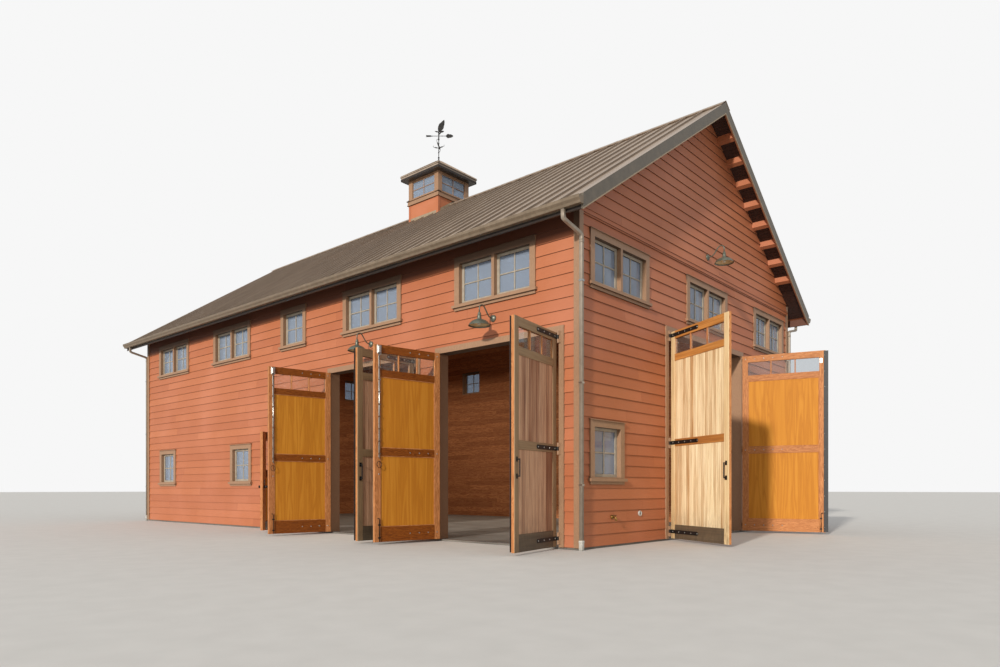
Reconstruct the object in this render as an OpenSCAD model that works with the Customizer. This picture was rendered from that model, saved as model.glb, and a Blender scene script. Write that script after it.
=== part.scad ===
// Timber barn with paired swing doors, lapped siding walls, a standing-seam roof and a cupola.
// Millimetres, +Z up. Origin: centre of the plan at ground level. The front gable faces -Y.

/* [Building] */
// Width over the siding of the gable
barn_w = 8600; // [7000:50:11000]
// Length over the siding of the long walls
barn_l = 14900; // [14600:50:16500]
// Thickness of the framed walls
wall_t = 200; // [150:5:300]
// Depth kept outside the framed walls for the lapped siding boards
siding_t = 20; // [10:1:30]
// Thickness of the ground floor slab
slab_h = 30; // [20:5:50]

/* [Roof] */
// Slope of the roof
roof_angle = 34; // [30:1:38]
// Height of the metal roofing at the eave
eave_z = 5020; // [4950:5:5200]
// Overhang of the eaves beyond the siding
eave_over = 424; // [300:1:600]
// Overhang of the gables beyond the siding
rake_over = 370; // [250:5:500]
// Thickness of the roof boarding
boarding_t = 40; // [25:1:60]
// Thickness of the insulated rafter layer under the boarding
rafter_t = 110; // [80:5:200]
// Height of the lower edge of the fascia boards
fascia_low = 4825; // [4800:5:4900]
// Number of metal roofing panels along the roof
seam_panels = 44; // [30:1:60]
// Height of the standing seams
seam_h = 32; // [20:1:50]
// Number of lookout blocks on each slope of a gable
lookout_count = 8; // [4:1:9]

/* [Side doors] */
// Width of each double doorway in the long wall
side_door_w = 2600; // [2200:10:2700]
// Height of the leaf tops of the long wall doors
side_leaf_top = 3254; // [2900:2:3400]
// Centre of the near doorway, measured from the front corner
near_door_at = 1664; // [1500:2:1700]
// Centre of the far doorway, measured from the front corner
far_door_at = 4846; // [4800:2:4900]
// Width of the single side door leaf
walk_leaf_w = 880; // [700:5:900]
// Height of the single side door leaf
walk_leaf_h = 2060; // [1900:5:2200]
// Centre of the single side door, measured from the front corner
walk_door_at = 7510; // [7400:5:7600]

/* [Front doors] */
// Width of the double doorway in the front gable
front_door_w = 3170; // [2600:10:3400]
// Height of the leaf tops of the front doors
front_leaf_top = 3656; // [3200:2:3700]

/* [Leaves] */
// Thickness of the door leaves
leaf_t = 57; // [45:1:70]
// Width of the stiles
stile_w = 112; // [80:1:140]
// Depth of the top rail
top_rail = 132; // [90:1:160]
// Height of the glazed row
lite_h = 272; // [200:1:400]
// Depth of the rail under the glazed row
lite_rail = 116; // [80:1:150]
// Depth of the rail at mid-height
lock_rail = 125; // [90:1:160]
// Depth of the bottom rail
bottom_rail = 245; // [150:1:300]
// Height of the leaves' lower edge above the ground
leaf_lift = 40; // [36:1:60]

/* [Open positions] */
// Far doorway, far leaf
far_left_open = 99; // [0:1:120]
// Far doorway, near leaf
far_right_open = 92; // [0:1:97]
// Near doorway, far leaf
near_left_open = 99; // [0:1:104]
// Near doorway, near leaf
near_right_open = 101; // [0:1:120]
// Front doorway, left leaf
front_left_open = 119; // [0:1:135]
// Front doorway, right leaf
front_right_open = 105; // [0:1:135]
// Single side door
walk_open = 60; // [0:1:95]

/* [Windows] */
// Width over the casing of a double window
double_w = 1760; // [1500:10:1900]
// Width over the casing of a single window
single_w = 965; // [800:5:1100]
// Bottom and top of the upper windows over the casing
upper_z = [3935, 4838]; // [3800:5:4840]
// Bottom and top of the lower windows over the casing
lower_z = [975, 1960]; // [800:5:2100]
// Width of the window casing boards
casing_w = 92; // [70:1:120]
// Width of the sash members
sash_w = 48; // [35:1:70]

/* [Cupola] */
// Width of the square cupola
cupola_w = 1090; // [900:10:1300]
// Top of the boarded base
cupola_base_z = 8270; // [8100:10:8400]
// Top of the glazed band
cupola_head_z = 8900; // [8700:10:9000]
// Overhang of the hipped roof
cupola_over = 150; // [80:5:220]
// Height of the peak of the hipped roof
cupola_peak_z = 9490; // [9300:10:9700]
// Direction the wind vane points at rest, from +X
vane_angle = -49; // [-180:1:180]

/* [Hidden] */

half_w = barn_w / 2;
half_l = barn_l / 2;
frame_w = half_w - siding_t;
frame_l = half_l - siding_t;
eave_x = half_w + eave_over;
rake_y = half_l + rake_over;
slope = tan(roof_angle);
plumb = 1 / cos(roof_angle);
metal_t = 10;
ridge_z = eave_z + eave_x * slope;
rake_t = 40;
seam_w = 22;
trim_face = 15;
trim_back = siding_t;
board_w = 90;
// Clearance left where sloping faces rest on each other
seat = 0.05;
cut = 1;

side_head = side_leaf_top + 8;
front_head = front_leaf_top + 8;
walk_w = walk_leaf_w + 16;
walk_head = leaf_lift + walk_leaf_h + 8;
near_y = near_door_at - half_l;
far_y = far_door_at - half_l;
walk_y = walk_door_at - half_l;

// Height of a surface that lies the given depth under the metal roofing
function under_roof(x, depth) = eave_z + (eave_x - abs(x)) * slope - depth * plumb;
deck_depth = metal_t + boarding_t;
wall_depth = deck_depth + rafter_t;

// Window places: centre along the wall, width, bottom and top over the casing
near_window_y = near_y + 35;
left_upper = [
    [near_window_y, double_w], [far_y, double_w], [walk_y, single_w],
    [walk_y + 2660, double_w], [walk_y + 5760, double_w]
];
left_windows = concat(
    [for (w = left_upper) [w[0], w[1], upper_z]],
    [[walk_y + 2225, single_w, lower_z], [walk_y + 6120, single_w, lower_z]]
);
right_windows = concat(
    [for (y = [near_y, far_y, walk_y, walk_y + 2660, walk_y + 5760]) [y, single_w, upper_z]],
    [for (y = [near_y, far_y, walk_y + 5760]) [y, single_w, lower_z]]
);
gable_upper_x = 3140;
gable_lower_x = 3540;
gable_windows = concat(
    [for (x = [-gable_upper_x, 0, gable_upper_x]) [x, double_w, upper_z]],
    [for (x = [-gable_lower_x, gable_lower_x]) [x, single_w, lower_z]]
);

// Sides of the building: local +x runs right as seen from outside, +y runs inwards
FRONT = 0;
LEFT = 1;
REAR = 2;
RIGHT = 3;
module at_side(side, pos) {
    place = [[pos, -half_l], [-half_w, pos], [pos, half_l], [half_w, pos]];
    turn = [0, -90, 180, 90];
    translate([place[side][0], place[side][1], 0])
        rotate(turn[side])
            children();
}

// A box given by its lowest and highest corners
module block(low, high) {
    translate(low)
        cube(high - low);
}

// A profile drawn in X and Z, run along Y between two places
module along_y(from, to) {
    translate([0, to, 0])
        rotate([90, 0, 0])
            linear_extrude(to - from)
                children();
}

// Walls
module window_hole(side, w) {
    at_side(side, w[0])
        block([-w[1] / 2 + casing_w, -cut, w[2][0] + casing_w],
              [w[1] / 2 - casing_w, wall_t + siding_t + cut, w[2][1] - casing_w]);
}

module side_wall_profile(low, high) {
    inner = frame_w - wall_t;
    polygon([
        [inner, low], [frame_w, low],
        [frame_w, min(high, under_roof(frame_w, wall_depth))],
        [inner, min(high, under_roof(inner, wall_depth))]
    ]);
}

module left_wall_part(from, to, low, high) {
    difference() {
        mirror([1, 0, 0])
            along_y(from, to)
                side_wall_profile(low, high);
        for (w = left_windows)
            window_hole(LEFT, w);
    }
}

module gable_profile() {
    polygon([
        [-frame_w, slab_h], [frame_w, slab_h],
        [frame_w, under_roof(frame_w, wall_depth)],
        [0, under_roof(0, wall_depth)],
        [-frame_w, under_roof(frame_w, wall_depth)]
    ]);
}

module gable_wall(side) {
    at_side(side, 0)
        translate([0, siding_t, 0])
            along_y(0, wall_t)
                gable_profile();
}

siding_red = [0.66, 0.34, 0.25];
trim_brown = [0.55, 0.44, 0.35];
wall_end = frame_l - wall_t;
roof_top = ridge_z + 100;
jamb_t = 22;
side_hole = side_door_w / 2 + jamb_t;
walk_hole = walk_w / 2 + jamb_t;
front_hole = front_door_w / 2 + jamb_t;

module floor_slab() {
    color([0.42, 0.40, 0.38])
        block([-frame_w, -frame_l, 0], [frame_w, frame_l, slab_h]);
}

module left_wall_piers() {
    color(siding_red) {
        left_wall_part(-wall_end, near_y - side_hole, slab_h, side_head + jamb_t);
        left_wall_part(near_y + side_hole, far_y - side_hole, slab_h, side_head + jamb_t);
        left_wall_part(far_y + side_hole, walk_y - walk_hole, slab_h, side_head + jamb_t);
        left_wall_part(walk_y + walk_hole, wall_end, slab_h, side_head + jamb_t);
    }
}

module left_wall_upper() {
    color(siding_red)
        left_wall_part(-wall_end, wall_end, side_head + jamb_t, roof_top);
}

module left_wall_door_head() {
    color(siding_red)
        left_wall_part(walk_y - walk_hole, walk_y + walk_hole, walk_head + jamb_t, side_head + jamb_t);
}

module right_wall() {
    color(siding_red)
        difference() {
            along_y(-wall_end, wall_end)
                side_wall_profile(slab_h, roof_top);
            for (w = right_windows)
                window_hole(RIGHT, w);
        }
}

module front_wall_piers() {
    color(siding_red)
        difference() {
            gable_wall(FRONT);
            block([-half_w, -half_l - cut, front_head + jamb_t], [half_w, 0, roof_top]);
            block([-front_hole, -half_l - cut, 0], [front_hole, 0, roof_top]);
            for (w = gable_windows)
                window_hole(FRONT, w);
        }
}

module front_wall_gable() {
    color(siding_red)
        difference() {
            gable_wall(FRONT);
            block([-half_w, -half_l - cut, 0], [half_w, 0, front_head + jamb_t]);
            for (w = gable_windows)
                window_hole(FRONT, w);
        }
}

module rear_wall() {
    color(siding_red)
        difference() {
            gable_wall(REAR);
            for (w = gable_windows)
                window_hole(REAR, w);
        }
}

// Windows: casing boards, a sill, a lining through the wall and one sash to each light
lining_t = 20;
sash_y = 60;
sash_t = 40;
glass_t = 6;
mullion_w = 60;
sill_over = 35;

function lights(w) = w > 1.5 * single_w ? 2 : 1;
function light_w(w) =
    (w - 2 * casing_w - 2 * lining_t - (lights(w) - 1) * mullion_w) / lights(w);
function light_x(w, i) = (i - (lights(w) - 1) / 2) * (light_w(w) + mullion_w);

module window_frame(w, z) {
    low = z[0] + casing_w;
    high = z[1] - casing_w;
    hole = w / 2 - casing_w;
    difference() {
        union() {
            block([-w / 2, -trim_face, z[0]], [w / 2, trim_back, z[1]]);
            block([-hole, trim_back, low], [hole, siding_t + wall_t, high]);
            block([-w / 2 - sill_over, -trim_face - sill_over, z[0] + casing_w / 2],
                  [w / 2 + sill_over, trim_back, low]);
        }
        for (i = [0 : lights(w) - 1])
            translate([light_x(w, i), 0, 0]) {
                lw = light_w(w) / 2;
                block([-lw + sash_w, -wall_t, low + lining_t + sash_w],
                      [lw - sash_w, 2 * wall_t, high - lining_t - sash_w]);
                block([-lw, -wall_t, low + lining_t], [lw, sash_y, high - lining_t]);
                block([-lw, sash_y + sash_t, low + lining_t], [lw, 2 * wall_t, high - lining_t]);
            }
    }
}

module window_panes(w, z) {
    for (i = [0 : lights(w) - 1])
        translate([light_x(w, i), sash_y + (sash_t - glass_t) / 2, 0]) {
            lw = light_w(w) / 2 - sash_w;
            edge = casing_w + lining_t + sash_w;
            block([-lw, 0, z[0] + edge], [lw, glass_t, z[1] - edge]);
        }
}

module place_windows(list, side, glass) {
    for (w = list)
        at_side(side, w[0])
            if (glass)
                window_panes(w[1], w[2]);
            else
                window_frame(w[1], w[2]);
}

module all_windows(glass) {
    place_windows(gable_windows, FRONT, glass);
    place_windows(left_windows, LEFT, glass);
    place_windows(gable_windows, REAR, glass);
    place_windows(right_windows, RIGHT, glass);
}

module window_frames() {
    color(trim_brown)
        all_windows(false);
}

module window_glass() {
    color([0.55, 0.65, 0.72, 0.5])
        all_windows(true);
}

// Corner boards and the thin belt across each gable at eave height
belt_z = [5020, 5095];
corner_top = under_roof(half_w + trim_face, deck_depth + seat);
module wall_trim() {
    color(trim_brown) {
        for (sx = [-1, 1], sy = [-1, 1])
            scale([sx, sy, 1])
                difference() {
                    block([half_w - board_w, half_l - board_w, slab_h],
                          [half_w + trim_face, half_l + trim_face, belt_z[0]]);
                    block([0, 0, 0], [frame_w, frame_l, belt_z[0] + cut]);
                }
        for (sx = [-1, 1], sy = [-1, 1])
            scale([sx, sy, 1])
                block([frame_w, half_l - board_w, belt_z[0] - cut],
                      [half_w + trim_face, half_l + trim_face, corner_top]);
    }
    color(siding_red)
        for (sy = [-1, 1])
            scale([1, sy, 1])
                intersection() {
                    block([-frame_w, frame_l, belt_z[0]], [frame_w, half_l + trim_face, belt_z[1]]);
                    along_y(0, barn_l)
                        gable_profile();
                }
}

// Casings round the doorways: legs and a head on the outer face, and a lining through the wall
head_board_w = 100;
module door_casing(w, head) {
    leg = w / 2 + board_w;
    lining = w / 2 + jamb_t;
    difference() {
        union() {
            block([-leg, -trim_face, slab_h], [leg, trim_back, head + head_board_w]);
            block([-lining, 0, slab_h], [lining, siding_t + wall_t, head + jamb_t]);
        }
        block([-w / 2, -wall_t, 0], [w / 2, 2 * wall_t, head]);
    }
}

module door_casings() {
    color(trim_brown) {
        at_side(LEFT, near_y)
            door_casing(side_door_w, side_head);
        at_side(LEFT, far_y)
            door_casing(side_door_w, side_head);
        at_side(LEFT, walk_y)
            door_casing(walk_w, walk_head);
        at_side(FRONT, 0)
            door_casing(front_door_w, front_head);
    }
}

// Roof
module roof_strip(inner, outer, top, bottom) {
    polygon([
        [inner, under_roof(inner, top)], [outer, under_roof(outer, top)],
        [outer, under_roof(outer, bottom)], [inner, under_roof(inner, bottom)]
    ]);
}

module roof_deck_right() {
    color([0.45, 0.36, 0.28]) {
        along_y(-rake_y + rake_t, rake_y - rake_t)
            roof_strip(0, eave_x, metal_t, deck_depth);
        along_y(-frame_l, frame_l)
            roof_strip(0, frame_w, deck_depth, wall_depth);
    }
}

module roof_deck_left() {
    mirror([1, 0, 0])
        roof_deck_right();
}

// One slope of roofing: flat pans with a raised seam at every joint
roof_len = 2 * (rake_y - rake_t - seat);
seam_pitch = roof_len / seam_panels;
pan_drip = 22;
pan_run = (eave_x + pan_drip) * plumb;
ridge_gap = 12;

module seam_profile() {
    pans = [for (i = [1 : seam_panels - 1]) i * seam_pitch - roof_len / 2];
    polygon(concat(
        [[-roof_len / 2, 0], [roof_len / 2, 0], [roof_len / 2, metal_t]],
        [for (i = [len(pans) - 1 : -1 : 0])
            each [
                [pans[i] + seam_w / 2, metal_t], [pans[i] + seam_w / 2, metal_t + seam_h],
                [pans[i] - seam_w / 2, metal_t + seam_h], [pans[i] - seam_w / 2, metal_t]
            ]],
        [[-roof_len / 2, metal_t]]
    ));
}

module roofing_slope() {
    translate([0, 0, under_roof(0, metal_t)])
        rotate([0, roof_angle, 0])
            translate([ridge_gap, 0, 0])
                rotate([90, 0, 90])
                    linear_extrude(pan_run - ridge_gap)
                        seam_profile();
}

module roof_panels() {
    hole = cupola_w / 2 + 2;
    color([0.47, 0.41, 0.35])
        difference() {
            union() {
                roofing_slope();
                mirror([1, 0, 0])
                    roofing_slope();
            }
            block([-hole, -hole, 0], [hole, hole, roof_top]);
        }
}

cap_w = 165;
cap_t = 8;
cap_rise = seam_h + seat;
module ridge_cap() {
    hole = cupola_w / 2 + 2;
    color([0.45, 0.39, 0.33])
        for (part = [[-rake_y, -hole], [hole, rake_y]])
            along_y(part[0], part[1])
                polygon([
                    [0, under_roof(0, -cap_rise)],
                    [cap_w, under_roof(cap_w, -cap_rise)],
                    [cap_w, under_roof(cap_w, -cap_rise - cap_t)],
                    [0, under_roof(0, -cap_rise - cap_t)],
                    [-cap_w, under_roof(cap_w, -cap_rise - cap_t)],
                    [-cap_w, under_roof(cap_w, -cap_rise)]
                ]);
}

rake_top = 12;
rake_depth = 175;
module rake_boards() {
    color([0.45, 0.39, 0.33])
        for (s = [-1, 1])
            scale([1, s, 1])
                along_y(rake_y - rake_t, rake_y)
                    polygon([
                        [0, under_roof(0, -rake_top)],
                        [eave_x, under_roof(eave_x, -rake_top)],
                        [eave_x, under_roof(eave_x, rake_depth)],
                        [0, under_roof(0, rake_depth)],
                        [-eave_x, under_roof(eave_x, rake_depth)],
                        [-eave_x, under_roof(eave_x, -rake_top)]
                    ]);
}

lookout_first = 440;
lookout_pitch = 443;
lookout_w = 70;
lookout_h = 95;
module lookouts() {
    color([0.50, 0.33, 0.24])
        for (sx = [-1, 1], sy = [-1, 1], i = [0 : lookout_count - 1])
            scale([sx, sy, 1])
                along_y(frame_l, rake_y - rake_t)
                    roof_strip(lookout_first + i * lookout_pitch,
                               lookout_first + i * lookout_pitch + lookout_w,
                               deck_depth + seat, deck_depth + lookout_h);
}

// Fascia boards along the open eaves
fascia_t = 30;
module eave_boxes() {
    color(siding_red)
        for (sx = [-1, 1])
            scale([sx, 1, 1])
                along_y(-rake_y + rake_t, rake_y - rake_t)
                    polygon([
                        [eave_x - fascia_t, fascia_low], [eave_x, fascia_low],
                        [eave_x, under_roof(eave_x, deck_depth + seat)],
                        [eave_x - fascia_t, under_roof(eave_x - fascia_t, deck_depth + seat)]
                    ]);
}

// Gutters: an open trough with a shaped front, closed at both ends
gutter_t = 5;
gutter_low = 4878;
gutter_high = 4986;
gutter_foot = 78;
gutter_reach = 118;
module gutter_shape(inset) {
    polygon([
        [eave_x + inset, gutter_high + inset], [eave_x + inset, gutter_low + inset],
        [eave_x + gutter_foot - inset, gutter_low + inset],
        [eave_x + gutter_foot + 12 - inset, gutter_low + 34],
        [eave_x + gutter_reach - inset, gutter_low + 66],
        [eave_x + gutter_reach - inset, gutter_high + inset]
    ]);
}

module gutters() {
    color([0.44, 0.40, 0.31])
        for (sx = [-1, 1])
            scale([sx, 1, 1])
                difference() {
                    along_y(-rake_y, rake_y)
                        gutter_shape(0);
                    along_y(-rake_y + gutter_t, rake_y - gutter_t)
                        gutter_shape(gutter_t);
                }
}

// Downspouts: pipe of rectangular section, run back under the eave and down in front of the
// corner board to a boot
pipe_w = 52;
pipe_d = 56;
pipe_tilt = 77;
pipe_start = 4745;
pipe_x = half_w + 10;
pipe_y = half_l + trim_face + 4;
pipe_top_x = eave_x + 42;
boot_w = 96;
boot_h = 150;

module downspout() {
    r = pipe_w / 2;
    miter = r * tan(pipe_tilt / 2);
    low_z = pipe_start - (pipe_top_x - pipe_x) / tan(pipe_tilt);
    along_y(pipe_y, pipe_y + pipe_d)
        polygon([
            [pipe_top_x - r, gutter_low], [pipe_top_x + r, gutter_low],
            [pipe_top_x + r, pipe_start - miter], [pipe_x + r, low_z - miter],
            [pipe_x + r, 0], [pipe_x - r, 0],
            [pipe_x - r, low_z + miter], [pipe_top_x - r, pipe_start + miter]
        ]);
    block([pipe_x - boot_w / 2, pipe_y, 0], [pipe_x + boot_w / 2, pipe_y + pipe_d + 12, boot_h]);
}

module downspouts() {
    color([0.62, 0.56, 0.49])
        for (sx = [-1, 1], sy = [-1, 1])
            scale([sx, sy, 1])
                downspout();
}

// Gooseneck lamps: domed wall plate, an arm that rises and bends over, a tapered neck and
// a spun shade. The arm is drawn in a plane with x outwards from the plate and y upwards
lamp_reach = 330;
lamp_tube = 11;
lamp_plate_r = 58;
lamp_plate_h = 30;
arm_rise = 53;
arm_low_r = 140;
arm_top_r = 68;
arm_run = lamp_reach - lamp_plate_h - arm_low_r * sin(arm_rise)
    - arm_top_r * (1 + sin(arm_rise));
arm_l = arm_run / cos(arm_rise);
arm_top_x = lamp_reach - lamp_plate_h - arm_top_r;
arm_top_z = arm_low_r * (1 - cos(arm_rise)) + arm_l * sin(arm_rise) - arm_top_r * cos(arm_rise);
shade_drop = 170;
shade_r = 178;
shade_h = 100;
shade_t = 4;
neck_top = 214;
module lamp_shade() {
    rotate_extrude($fn = 48)
        polygon([
            [0, neck_top], [13, neck_top], [23, neck_top - 8], [27, neck_top - 24],
            [31, neck_top - 64], [37, shade_h + 6], [40, shade_h], [62, shade_h - 5],
            [92, shade_h - 18], [124, shade_h - 34], [150, 42], [shade_r - 12, 20], [shade_r, 0],
            [shade_r - shade_t, 0], [shade_r - 12 - shade_t, 19], [146, 40],
            [121, shade_h - 38], [90, shade_h - 22], [60, shade_h - 9], [30, shade_h - 4],
            [0, shade_h - 4]
        ]);
}

module arm_bend(radius, start, sweep) {
    rotate(start)
        rotate_extrude(angle = sweep, $fn = 64)
            translate([radius, 0])
                circle(lamp_tube, $fn = 20);
}

module lamp_arm() {
    translate([0, arm_low_r])
        arm_bend(arm_low_r, -90, arm_rise);
    translate([arm_low_r * sin(arm_rise), arm_low_r * (1 - cos(arm_rise)), 0])
        rotate(arm_rise)
            rotate([0, 90, 0])
                cylinder(h = arm_l, r = lamp_tube, $fn = 20);
    translate([arm_top_x, arm_top_z])
        arm_bend(arm_top_r, 0, 90 + arm_rise);
    translate([arm_top_x + arm_top_r, arm_top_z, 0])
        rotate([90, 0, 0])
            cylinder(h = arm_top_z + shade_drop - neck_top + 2, r = lamp_tube, $fn = 20);
}

module gooseneck(z) {
    translate([0, 0, z]) {
        rotate([90, 0, 0])
            translate([0, 0, -trim_back])
                rotate_extrude($fn = 32)
                    polygon([
                        [0, 0], [lamp_plate_r, 0], [lamp_plate_r, trim_back + 6],
                        [lamp_plate_r - 10, trim_back + 18],
                        [lamp_plate_r / 2, trim_back + lamp_plate_h - 2],
                        [18, trim_back + lamp_plate_h + 4], [0, trim_back + lamp_plate_h + 4]
                    ]);
        translate([0, -lamp_plate_h, 0])
            rotate([90, 0, -90])
                lamp_arm();
        translate([0, -lamp_reach, -shade_drop])
            lamp_shade();
    }
}

side_lamp_z = 3680;
front_lamp_z = 5360;
module gooseneck_lamps() {
    color([0.45, 0.47, 0.42]) {
        at_side(LEFT, near_window_y)
            gooseneck(side_lamp_z);
        at_side(LEFT, far_y)
            gooseneck(side_lamp_z);
        at_side(FRONT, 0)
            gooseneck(front_lamp_z);
    }
}

// Cupola
cupola_half = cupola_w / 2;
cupola_wall_t = 60;
cupola_band = 120;
post_w = 110;
module roof_wedge(depth) {
    along_y(-half_l, half_l)
        polygon([
            [-half_w, 0], [half_w, 0], [half_w, under_roof(half_w, depth)],
            [0, under_roof(0, depth)], [-half_w, under_roof(half_w, depth)]
        ]);
}

module square_ring(outer, inner, low, high) {
    difference() {
        block([-outer, -outer, low], [outer, outer, high]);
        block([-inner, -inner, low - cut], [inner, inner, high + cut]);
    }
}

module cupola_base() {
    color(siding_red)
        difference() {
            square_ring(cupola_half, cupola_half - cupola_wall_t, eave_z, cupola_base_z);
            roof_wedge(metal_t - seat);
        }
}

module cupola_frames() {
    opening = cupola_half - post_w;
    low = cupola_base_z + cupola_band;
    color(trim_brown)
        difference() {
            union() {
                square_ring(cupola_half + 25, cupola_half - cupola_wall_t, cupola_base_z, low);
                square_ring(cupola_half, cupola_half - cupola_wall_t, low, cupola_head_z);
            }
            for (turn = [0, 90])
                rotate(turn)
                    block([-opening, -cupola_w, low + 20], [opening, cupola_w, cupola_head_z - 30]);
        }
}

module cupola_glass() {
    opening = cupola_half - post_w;
    color([0.55, 0.65, 0.72, 0.5])
        for (turn = [0, 90, 180, 270])
            rotate(turn)
                block([-opening, cupola_half - cupola_wall_t / 2, cupola_base_z + cupola_band + 20],
                      [opening, cupola_half - cupola_wall_t / 2 + glass_t, cupola_head_z - 30]);
}

mast_foot = 30;
module cupola_roof() {
    edge = cupola_half + cupola_over;
    fascia = 120;
    peak = cupola_peak_z - cupola_head_z;
    top = peak - mast_foot;
    flat = edge * mast_foot / (peak - fascia);
    color([0.47, 0.41, 0.35])
        translate([0, 0, cupola_head_z]) {
            block([-edge, -edge, 0], [edge, edge, fascia - 20]);
            block([-edge - 15, -edge - 15, fascia - 20], [edge + 15, edge + 15, fascia]);
            intersection() {
                along_y(-edge, edge)
                    polygon([[-edge, fascia - cut], [edge, fascia - cut], [flat, top], [-flat, top]]);
                rotate(90)
                    along_y(-edge, edge)
                        polygon([[-edge, fascia - cut], [edge, fascia - cut], [flat, top],
                                 [-flat, top]]);
            }
        }
}

// Wind vane: a fixed mast with scrolls, and an arrow under a leaning feather that turns on its
// tip. Plates stand in a plane with x along the arrow and y upwards
mast_r = 10;
pin_r = 7;
bearing_gap = 1;
mast_top = 10060;
pin_h = 120;
arrow_z = 10135;
plate_t = 6;
vane_peak = 10560;
scroll_z = 9830;

// A pointed leaf along a direction, with its foot at a point
module leaf_outline(foot, direction, length, width) {
    r = (length * length + width * width) / (4 * width);
    translate(foot)
        rotate(direction)
            intersection() {
                translate([length / 2, width / 2 - r])
                    circle(r, $fn = 64);
                translate([length / 2, r - width / 2])
                    circle(r, $fn = 64);
            }
}

module standing_plate() {
    rotate([90, 0, 0])
        translate([0, 0, -plate_t / 2])
            linear_extrude(plate_t)
                children();
}

module vane_mast() {
    foot_z = cupola_peak_z - mast_foot;
    color([0.12, 0.12, 0.13]) {
        translate([0, 0, foot_z])
            cylinder(h = mast_top - foot_z, r = mast_r, $fn = 24);
        translate([0, 0, foot_z])
            cylinder(h = 16, r = 44, $fn = 32);
        translate([0, 0, mast_top - 30])
            cylinder(h = 22, r = 19, $fn = 24);
        translate([0, 0, mast_top - cut])
            cylinder(h = pin_h, r = pin_r, $fn = 24);
        rotate(vane_angle)
            standing_plate() {
                leaf_outline([-53, scroll_z + 174], -68, 240, 34);
                leaf_outline([37, scroll_z - 55], 112, 120, 46);
                leaf_outline([0, scroll_z], 14, 135, 28);
                leaf_outline([0, scroll_z - 12], 170, 135, 26);
            }
    }
}

module arrow_head(x, length) {
    leaf_outline([x, arrow_z], 0, length, length / 2);
    for (a = [-36, 36])
        leaf_outline([x, arrow_z], a, length * 0.48, length / 4);
}

module arrow_tail(x, length) {
    polygon([
        [x, arrow_z - 8], [x - 16, arrow_z - 19], [x - length, arrow_z - 24],
        [x - length + 16, arrow_z], [x - length, arrow_z + 24], [x - 16, arrow_z + 19],
        [x, arrow_z + 8]
    ]);
}

module wind_vane() {
    hub_r = 15;
    hub_z = mast_top + 4;
    hub_top = arrow_z + 75;
    feather_z = hub_top + 15;
    feather_lean = 67;
    rod_r = 7;
    head_x = 195;
    tail_x = -190;
    color([0.12, 0.12, 0.13])
        rotate(vane_angle)
            difference() {
                union() {
                    translate([0, 0, hub_z])
                        cylinder(h = hub_top - hub_z, r = hub_r, $fn = 24);
                    translate([tail_x - 40, 0, arrow_z])
                        rotate([0, 90, 0])
                            cylinder(h = head_x - tail_x + 80, r = rod_r, $fn = 16);
                    standing_plate() {
                        arrow_head(head_x, 186);
                        arrow_tail(tail_x, 147);
                        leaf_outline([8, hub_top - 40], 52, 90, 28);
                        leaf_outline([-6, hub_top - 22], 82, 80, 22);
                        leaf_outline([0, feather_z], feather_lean,
                                     (vane_peak - feather_z) / sin(feather_lean), 122);
                        leaf_outline([0, feather_z], feather_lean + 14, 260, 84);
                        leaf_outline([18, feather_z + 32], 42, 158, 42);
                        leaf_outline([8, feather_z + 12], 10, 136, 50);
                        leaf_outline([4, feather_z + 12], 168, 112, 32);
                    }
                }
                translate([0, 0, hub_z - cut])
                    cylinder(h = pin_h, r = pin_r + bearing_gap, $fn = 24);
            }
}

// Hinges. Local frame of a leaf: the pivot is the origin, the closed leaf runs along +x,
// its outer face lies pivot_out behind the pivot, and +y runs into the building
pivot_out = 20;
pivot_in = 2;
leaf_gap = 6;
meet_gap = 10;
eye_r = 13;
hinge_pin_r = 6;
eye_h = 60;
strap_t = 7;
knuckle_gap = 1.5;

side_leaf_w = (side_door_w - 2 * (leaf_gap + pivot_in) - meet_gap) / 2;
front_leaf_w = (front_door_w - 2 * (leaf_gap + pivot_in) - meet_gap) / 2;
side_leaf_h = side_leaf_top - leaf_lift;
front_leaf_h = front_leaf_top - leaf_lift;

function panel_h(h) = (h - bottom_rail - lock_rail - lite_rail - lite_h - top_rail) / 2;
function hinge_heights(h) = [
    leaf_lift + bottom_rail / 2,
    leaf_lift + bottom_rail + panel_h(h) + lock_rail / 2,
    leaf_lift + h - top_rail / 2
];
walk_hinges = [leaf_lift + 230, leaf_lift + walk_leaf_h / 2, leaf_lift + walk_leaf_h - 190];

// Puts a leaf, drawn with its hinge on the left, on a doorway: hand 1 is left, -1 is right
module hang(side, pos, opening, hand, angle) {
    at_side(side, pos)
        scale([hand, 1, 1])
            translate([-opening / 2 + pivot_in, -trim_face - pivot_out, 0])
                rotate(-angle)
                    children();
}

module jamb_knuckle(z) {
    for (s = [0, 1])
        translate([0, 0, z + (s == 0 ? -eye_h * 1.5 : eye_h / 2)])
            union() {
                cylinder(h = eye_h, r = eye_r, $fn = 24);
                block([-30, 0, 0], [0, pivot_out, eye_h]);
            }
    block([-44, pivot_out - strap_t, z - eye_h * 1.5], [-12, pivot_out, z + eye_h * 1.5]);
    translate([0, 0, z - eye_h])
        cylinder(h = 2 * eye_h, r = hinge_pin_r, $fn = 24);
}

module hinge_pintles() {
    places = [
        [LEFT, far_y, side_door_w, hinge_heights(side_leaf_h)],
        [LEFT, near_y, side_door_w, hinge_heights(side_leaf_h)],
        [FRONT, 0, front_door_w, hinge_heights(front_leaf_h)]
    ];
    color([0.10, 0.10, 0.10]) {
        for (p = places, hand = [1, -1], z = p[3])
            hang(p[0], p[1], p[2], hand, 0)
                jamb_knuckle(z);
        for (z = walk_hinges)
            hang(LEFT, walk_y, walk_w, 1, 0)
                jamb_knuckle(z);
    }
}

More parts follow.
